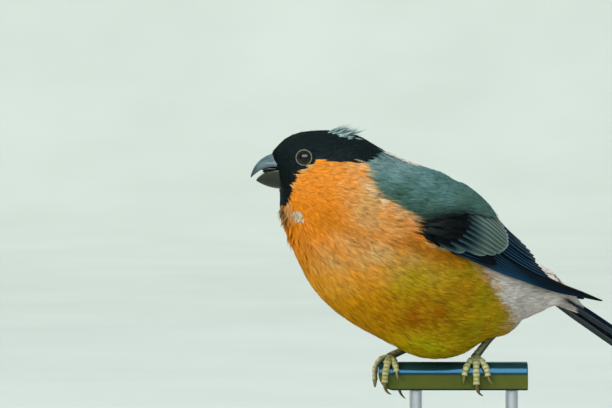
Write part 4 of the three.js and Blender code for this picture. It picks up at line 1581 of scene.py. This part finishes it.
def makeEye(side):
    ball = addSphere(48, 32, eye["radius"] * mm)
    ball.name = "eyeball_" + side
    co = getCo(ball)
    off = np.hypot(co[:, 0], co[:, 1]) / mm
    front = co[:, 2] > 0
    co[:, 2] += np.where(front, eye["bulge"] * np.exp(-((off / 1.9) ** 2)), 0) * mm
    placeAtEye(ball, co, side)
    shade = np.where(front, off, 9.0)
    pupil, iris, rim = (np.array(eyeTone[key]) for key in ("pupil", "iris", "rim"))
    paint = blend(pupil, iris, smooth(shade, eye["pupil"] - 0.1, eye["pupil"] + 0.15))
    paintPoints(ball, blend(paint, rim, smooth(shade, eye["iris"] - 0.3, eye["iris"])))
    return keep(ball, "eye", "eye_" + side)


def makeLid(side):
    clearSelection()
    bpy.ops.mesh.primitive_torus_add(
        major_radius=eye["lid"] * mm, minor_radius=eye["lidThick"] * mm, major_segments=64, minor_segments=14
    )
    lid = bpy.context.object
    lid.name = "lid_" + side
    co = getCo(lid)
    angle = np.arctan2(co[:, 1], co[:, 0])
    ring = np.stack([np.cos(angle), np.sin(angle), 0 * angle], 1) * eye["lid"] * mm
    beads = 1 + 0.10 * np.sin(22 * angle) + 0.06 * np.sin(9 * angle + 1)
    co = ring * [1, 0.97, 1] + (co - ring) * beads[:, None] + [0, 0, eye["lidRise"] * mm]
    placeAtEye(lid, co, side)
    return keep(lid, "leg_scales")


def makeEyeMaterials():
    wet = Material("eye", {"Roughness": 0.06, "Specular IOR Level": 0.28})
    wet.painted(0.5, wet.noise(scale=1500), (0.5, 0.5, 0.5))
    lid = Material("lid_skin", {"Roughness": 0.5})
    mottle = lid.noise(scale=1800)
    lid.link(lid.ramp(mottle, (0.3, (0.02, 0.022, 0.014)), (0.7, (0.12, 0.12, 0.075))), "Base Color")
    lid.bump(lid.noise(scale=3000), 0.06)
    return wet.made, lid.made


# Legs, feet and claws, laid out from the bar: along it, away from the viewer, up from its middle
perchHalf = (perchHigh.y - perchLow.y) / 2 / mm
archMiddle = (perchHigh.z - perchLow.z) / 2 / mm - perchHalf
barLeft, barTop = perchLow.x / mm, archMiddle + perchHalf
leg = {"gap": 0.3, "padOff": 1.4, "pad": 1.5, "shankScutes": 7, "toeScutes": (7, 6, 9, 7)}
# For each toe from the hind one to the outer one: way over the bar (0 is over its end), shift along it,
# reach, radius, length of the claw and its drift
feet = {
    "left": {
        "x": 14.6, "ankle": (19.8, 1.8, 12.8),
        "toes": ((-1, 0.8, 10.5, 1.0, 5.2, 0.5), (1, -3.9, 8.2, 0.92, 3.0, 0.3),
                 (1, 0.0, 11.2, 1.02, 4.4, 2.2), (1, 3.7, 8.4, 0.92, 3.0, 1.2)),
    },
    "right": {
        "x": -12.6, "ankle": (-3.5, 6.5, 9.8),
        "toes": ((-1, 2.4, 11.0, 1.0, 6.2, 2.0), (1, 1.9, 7.0, 0.9, 3.4, 0.4),
                 (1, -1.9, 10.6, 1.02, 4.6, 2.4), (0, -5.0, 7.0, 0.92, 3.0, 0.0)),
    },
}


def overBar(x, reach, way, off):
    r = perchHalf + off
    quarter = r * math.pi / 2
    if reach < quarter:
        return x, -way * r * math.sin(reach / r), archMiddle + r * math.cos(reach / r)
    return x, -way * r, archMiddle - (reach - quarter)


def toeLine(foot, toe):
    way, shift, reach, radius, _, _ = toe
    off = leg["gap"] + radius * 0.9
    if way == 0:
        side = barLeft - off
        return [
            (foot["x"], 0, barTop + leg["padOff"]), (barLeft + 1.2, -0.9, barTop + off),
            (side + 0.3, -1.6, barTop - 1.2), (side, -2.0, archMiddle + 0.6), (side, -2.1, archMiddle - 1.6),
        ]
    line = []
    for i in range(6):
        k = i / 5
        x = foot["x"] + shift * math.sin(k * 1.4)
        line.append(overBar(x, reach * i / 5, way, off if i else leg["padOff"]))
    return line


def clawLine(foot, toe, t):
    way, _, reach, _, claw, drift = toe
    line = toeLine(foot, toe)
    tip, before = through(line, [1.0])[0], through(line, [0.985])[0]
    ahead = unit(tip - before)
    bend = tip + ahead * claw * 0.62
    inward = np.array([0, way, 0]) * (claw * 0.45 if reach > 9.5 else 0)
    end = bend + ahead * claw * 0.2 + inward + np.array([drift, 0, 0])
    return bezier(tip - ahead * 0.5, bend, end, t)


# Places around a middle line, which lineAt gives, at a distance from it; ref is never along the line
def aroundLine(lineAt, ref, along, angle, size):
    ahead = unit(lineAt(np.minimum(along + 0.01, 1)) - lineAt(np.maximum(along - 0.01, 0)))
    side = unit(np.cross(ahead, np.asarray(ref, float)))
    up = np.cross(side, ahead)
    across, high = ((size * turned)[:, None] for turned in (np.cos(angle), np.sin(angle)))
    return fromBar(lineAt(along) + side * across + up * high)


def tube(name, rings, sides, lineAt, ref, sizeAt):
    def at(along, angle):
        return aroundLine(lineAt, ref, along, angle, sizeAt(along, angle))

    return loft(name, rings, sides, at)


# Overlapping scutes on one side of a toe or shank: height, and how dark the joints are
def scutes(along, angle, count, facing):
    phase = (along * count) % 1
    front = np.clip(np.cos(angle - facing), 0, 1) ** 0.6
    step = (phase - 0.5) * 0.10
    groove = np.exp(-((np.minimum(phase, 1 - phase) / 0.09) ** 2))
    return step * front - 0.06 * groove * front, groove * front


legTone = {"scute": (0.50, 0.49, 0.20), "skin": (0.13, 0.11, 0.055), "joint": (0.030, 0.026, 0.014)}


def scalePaint(along, angle, count, facing):
    _, groove = scutes(along, angle, count, facing)
    scute, skin, joint = (np.asarray(legTone[key]) for key in ("scute", "skin", "joint"))
    paint = blend(skin, scute, np.clip(np.cos(angle - facing) * 1.4 + 0.2, 0, 1))
    return blend(paint, joint, np.clip(groove * 1.1, 0, 1))


def scaledTube(name, rings, sides, lineAt, ref, radiusAt, count, facing, pads=0, shade=1.0):
    def sizeAt(along, angle):
        bump, _ = scutes(along, angle, count, facing)
        toFront = np.cos(angle - facing)
        pad = 0.10 * np.abs(np.sin(np.pi * along * pads)) * np.clip(-toFront, 0, 1)
        return radiusAt(along) * (1 + bump + pad) * (1 - 0.16 * np.abs(toFront) ** 2 + 0.08)

    piece = tube(name, rings, sides, lineAt, ref, sizeAt)
    # merging has changed the order of the vertices, so each takes the paint of the nearest place on a grid
    grid = np.meshgrid((np.arange(rings * 2) + 0.5) / (rings * 2), np.arange(sides) / sides * 2 * np.pi)
    along, angle = np.stack(grid, -1).reshape(-1, 2).T
    tree = nearestTree(aroundLine(lineAt, ref, along, angle, sizeAt(along, angle)))
    paint = scalePaint(along, angle, count, facing) * shade
    paintPoints(piece, np.array([paint[tree.find(p)[1]] for p in getCo(piece)]))
    return piece


def makeShank(side, foot):
    heel = np.array([foot["x"], 0.4, barTop + leg["padOff"] + 0.4])
    ankle = np.array(foot["ankle"])
    top = ankle + unit(ankle - heel) * 3

    def lineAt(t):
        return mixed(heel, top, np.asarray(t)[:, None])

    def radiusAt(t):
        return 1.36 - 0.14 * np.sin(np.pi * t) + 0.3 * peak(t, 0.8, 0.12)

    name = "shank_scales_" + side
    return scaledTube(name, 60, 24, lineAt, (-0.45, 1, 0), radiusAt, leg["shankScutes"], 0, shade=0.55)


def makeToe(foot, toe, count):
    way, radius = toe[0], toe[3]
    line = toeLine(foot, toe)

    def radiusAt(t):
        return radius * (1.14 - 0.2 * t) * (1 + 0.10 * np.cos(2 * np.pi * t * 3))

    ref = (1, 0, 0) if way else (0, 1, 0)
    facing = 0 if way > 0 else math.pi
    return scaledTube("toe", 54, 20, lambda t: through(line, t), ref, radiusAt, count, facing, pads=3)


def makeFootPad(foot):
    pad = addSphere(24, 16, leg["pad"] * mm)
    middle = fromBar([(foot["x"], 0.2, barTop + leg["padOff"] + 0.1)])[0]
    co = getCo(pad)
    setCo(pad, co * [1.05, 1.05, 0.95] + middle)
    paintPoints(pad, np.tile(legTone["skin"], (len(co), 1)))
    bpy.ops.object.shade_smooth()
    return pad


def makeClaw(name, foot, toe):
    way, radius = toe[0], toe[3]

    def sizeAt(t, angle):
        return (radius * 0.74 * (1 - t) ** 0.7 + 0.1) * (1 - 0.18 * np.abs(np.sin(angle)))

    ref = (1, 0.1, 0) if way else (0, 1, 0)
    return tube(name, 24, 16, lambda t: clawLine(foot, toe, t), ref, sizeAt)


def makeLeg(side):
    foot = feet[side]
    shank = keep(makeShank(side, foot), "leg_scales", "shank_" + side)
    toes = [makeToe(foot, toe, count) for toe, count in zip(foot["toes"], leg["toeScutes"])]
    whole = keep(joined("toes_" + side, *toes, makeFootPad(foot)), "leg_scales", "foot_" + side)
    claws = []
    for i, toe in enumerate(foot["toes"]):
        claw = makeClaw(f"claw_horn_{side}_{i + 1}", foot, toe)
        claws.append(keep(claw, "claw_horn", f"claw_{side}_{i + 1}"))
    return [shank, whole], claws


def makeLegMaterials():
    scales = Material("leg_scales", {"Roughness": 0.5, "Specular IOR Level": 0.2})
    scales.painted(0.6, scales.noise(scale=300), (0.5, 0.48, 0.46))
    scales.bump(scales.noise(scale=1400, detail=4), 0.08, 0.7)
    horn = Material("claw_horn", {"Roughness": 0.3, "Coat Weight": 0.3})
    streak = horn.noise(scale=700, stretch=(1, 1, 0.3))
    horn.link(horn.ramp(streak, (0.3, (0.06, 0.048, 0.010)), (0.7, (0.20, 0.17, 0.035))), "Base Color")
    horn.bump(streak, 0.04, 0.5)
    return scales.made, horn.made


# The display stand: the cut length of bar, its rods with a collar each, and a wooden base
stand = {
    "edge": 0.35,  # the bar's ends and the collars
    "corner": 5,  # below the bar's free end
    "collar": (3.4, 1.6),  # radius and height
    "baseCorner": 14,
    "baseEdge": 1.6,
}


def makePerch():
    low, high = perchLow / mm, perchHigh / mm
    deep = archMiddle + (barMiddle - low.z)

    def at(along, angle):
        up, across = np.cos(angle), np.sin(angle)
        flat = (np.abs(across / perchHalf) ** 24 + np.abs(up / deep) ** 24) ** (-1 / 24)
        reach = np.where(up > 0, perchHalf, flat)
        y, z = reach * across, archMiddle + reach * up
        # the ends are rounded off
        k = np.clip(np.minimum(along, 1 - along) * 12, 0, 1)
        end = stand["edge"] * (1 - np.sqrt(1 - (1 - k) ** 2))
        x = low.x + (high.x - low.x) * np.interp(along, (0, 1 / 12, 11 / 12, 1), (0, 0.008, 0.992, 1))
        y, z = y * (1 - end / perchHalf), z - np.sign(up) * end
        # and the free end is cut back below
        rise = np.clip(stand["corner"] - (z - (archMiddle - deep)), 0, stand["corner"])
        back = stand["corner"] - np.sqrt(np.maximum(stand["corner"] ** 2 - rise**2, 0))
        x = x + back * (1 - smooth(along, 0, 0.5))
        return fromBar(np.stack([x, y, z], 1))

    piece = loft("perch_bar", 48, 160, at)
    bpy.ops.object.shade_smooth_by_angle(angle=math.radians(35))
    return keep(piece, "perch_plastic", "stand_perch")


def makeCylinder(radius, height, place):
    clearSelection()
    bpy.ops.mesh.primitive_cylinder_add(vertices=64, radius=radius, depth=height)
    cylinder = bpy.context.object
    cylinder.data.transform(Matrix.Translation(place))
    return cylinder


def makeRods():
    pieces = []
    radius, height = (size * mm for size in stand["collar"])
    for name in ("stand_rod_1", "stand_rod_2"):
        low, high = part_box(name)
        middle = (low + high) / 2
        rod = makeCylinder((high.x - low.x) / 2, high.z - low.z, middle)
        onBase = Vector((middle.x, middle.y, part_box("stand_base")[1].z + height / 2))
        collar = makeCylinder(radius, height, onBase)
        applyModifier(collar, "BEVEL", width=stand["edge"] * mm, segments=3, limit_method="ANGLE")
        whole = joined(name.replace("stand", "steel"), rod, collar)
        bpy.ops.object.shade_smooth_by_angle(angle=math.radians(35))
        pieces.append(keep(whole, "rod_steel", name))
    return pieces


def makeBase():
    low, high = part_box("stand_base")
    clearSelection()
    bpy.ops.mesh.primitive_cube_add(size=1)
    base = bpy.context.object
    base.name = "wooden_base"
    base.data.transform(Matrix.Translation((low + high) / 2) @ Matrix.Diagonal((*(high - low), 1)))
    selectEdges(base, lambda a, b: abs(a.z - b.z) > 1 * mm)
    bpy.ops.mesh.bevel(offset=stand["baseCorner"] * mm, segments=12)
    doneEditing()
    edge = {"width": stand["baseEdge"] * mm, "segments": 4, "limit_method": "ANGLE"}
    applyModifier(base, "BEVEL", angle_limit=math.radians(60), **edge)
    bpy.ops.object.shade_smooth_by_angle(angle=math.radians(30))
    return keep(base, "base_wood", "stand_base")


def makePlastic():
    made = Material("perch_plastic", {"Roughness": 0.16, "Specular Tint": (0.25, 0.62, 1.0, 1)})
    worn = made.noise(scale=120, detail=5)
    top = made.ramp(worn, (0.3, (0.006, 0.028, 0.028)), (0.7, (0.011, 0.046, 0.044)))
    # the flank's olive: partly the plastic's tint, partly a painted reflection of green foliage
    flankTintAndReflection = made.ramp(worn, (0.3, (0.075, 0.090, 0.012)), (0.7, (0.105, 0.122, 0.020)))
    # glossy above the middle of the arch; dull below it, in an olive that is partly the plastic's own tint
    # and partly a painted reflection of green foliage; and dark again along the lower edge
    height = made.height()
    level = (barMiddle + archMiddle) * mm
    above = made.span(height, 0.0, 1.0, level - 0.3 * mm, level + 0.3 * mm)
    lip = made.span(height, 0.0, 1.0, perchLow.z + 0.5 * mm, perchLow.z + 0.7 * mm)
    made.link(made.mix(lip, top, made.mix(above, flankTintAndReflection, top)), "Base Color")
    made.link(made.span(worn, 0.12, 0.26), "Roughness")
    made.link(made.span(above, 0.08, 0.5), "Specular IOR Level")
    made.bump(made.noise(scale=900, detail=2), 0.02, 0.4)
    return made.made


def makeWood():
    made = Material("base_wood", {"Roughness": 0.42, "Specular IOR Level": 0.2})
    rings = made.wave(scale=27, distortion=7, detail=4, stretch=(0.07, 1, 1), turn=(0, 0, math.pi / 2))
    grain = made.noise(scale=900, detail=4, stretch=(0.04, 1, 1))
    pores = made.noise(scale=2600, detail=2, stretch=(0.05, 1, 1))
    weights = (rings, 0.16), (grain, 0.5), (pores, 0.35)
    weighed = [made.sum(part, weight, "MULTIPLY") for part, weight in weights]
    tone = made.sum(made.sum(weighed[0], weighed[1]), weighed[2])
    browns = (0.3, (0.05, 0.026, 0.013)), (0.55, (0.12, 0.065, 0.033)), (0.8, (0.20, 0.115, 0.06))
    made.link(made.ramp(tone, *browns), "Base Color")
    made.bump(made.sum(grain, pores), 0.12, 0.35)
    return made.made


def makeSteel():
    made = Material("rod_steel", {"Metallic": 1.0, "Roughness": 0.3, "Base Color": (0.56, 0.56, 0.57, 1)})
    lines = made.noise(scale=700, detail=2, stretch=(1, 1, 0.05))
    made.link(made.span(lines, 0.2, 0.42), "Roughness")
    made.bump(lines, 0.02, 0.3)
    return made.made


def dress(material, *pieces):
    for piece in pieces:
        piece.data.materials.append(material)


makeCamera()
makeLights()
makeBackdrop()
print("studio ready")
skin = makeSkin()
print("skin:", len(skin.data.polygons), "faces")
wings = [makeWing("wing_left", False), makeWing("wing_right", True)]
tailPiece = makeTail()
dress(makeVaneMaterial(), *wings, tailPiece)
print("wings and tail:", [len(p.data.polygons) for p in wings + [tailPiece]])
for half, ridge, edge, dark, light in (
    ("upper", "culmen", "upperEdge", (0.018, 0.030, 0.034), (0.085, 0.135, 0.140)),
    ("lower", "gonys", "lowerEdge", (0.012, 0.017, 0.005), (0.045, 0.062, 0.018)),
):
    piece = makeBillHalf("bill_" + half, ridge, edge, half + "Wide")
    dress(makeHorn("horn_" + half, dark, light), piece)
makeMouth()
wet, lidSkin = makeEyeMaterials()
for side in ("left", "right"):
    dress(wet, makeEye(side))
    dress(lidSkin, makeLid(side))
print("bill and eyes ready")
scales, clawHorn = makeLegMaterials()
for side in ("left", "right"):
    scaled, claws = makeLeg(side)
    dress(scales, *scaled)
    dress(clawHorn, *claws)
print("legs ready")
dress(makePlastic(), makePerch())
dress(makeWood(), makeBase())
dress(makeSteel(), *makeRods())
print("stand ready")
makeCoat(skin, wings, tailPiece)
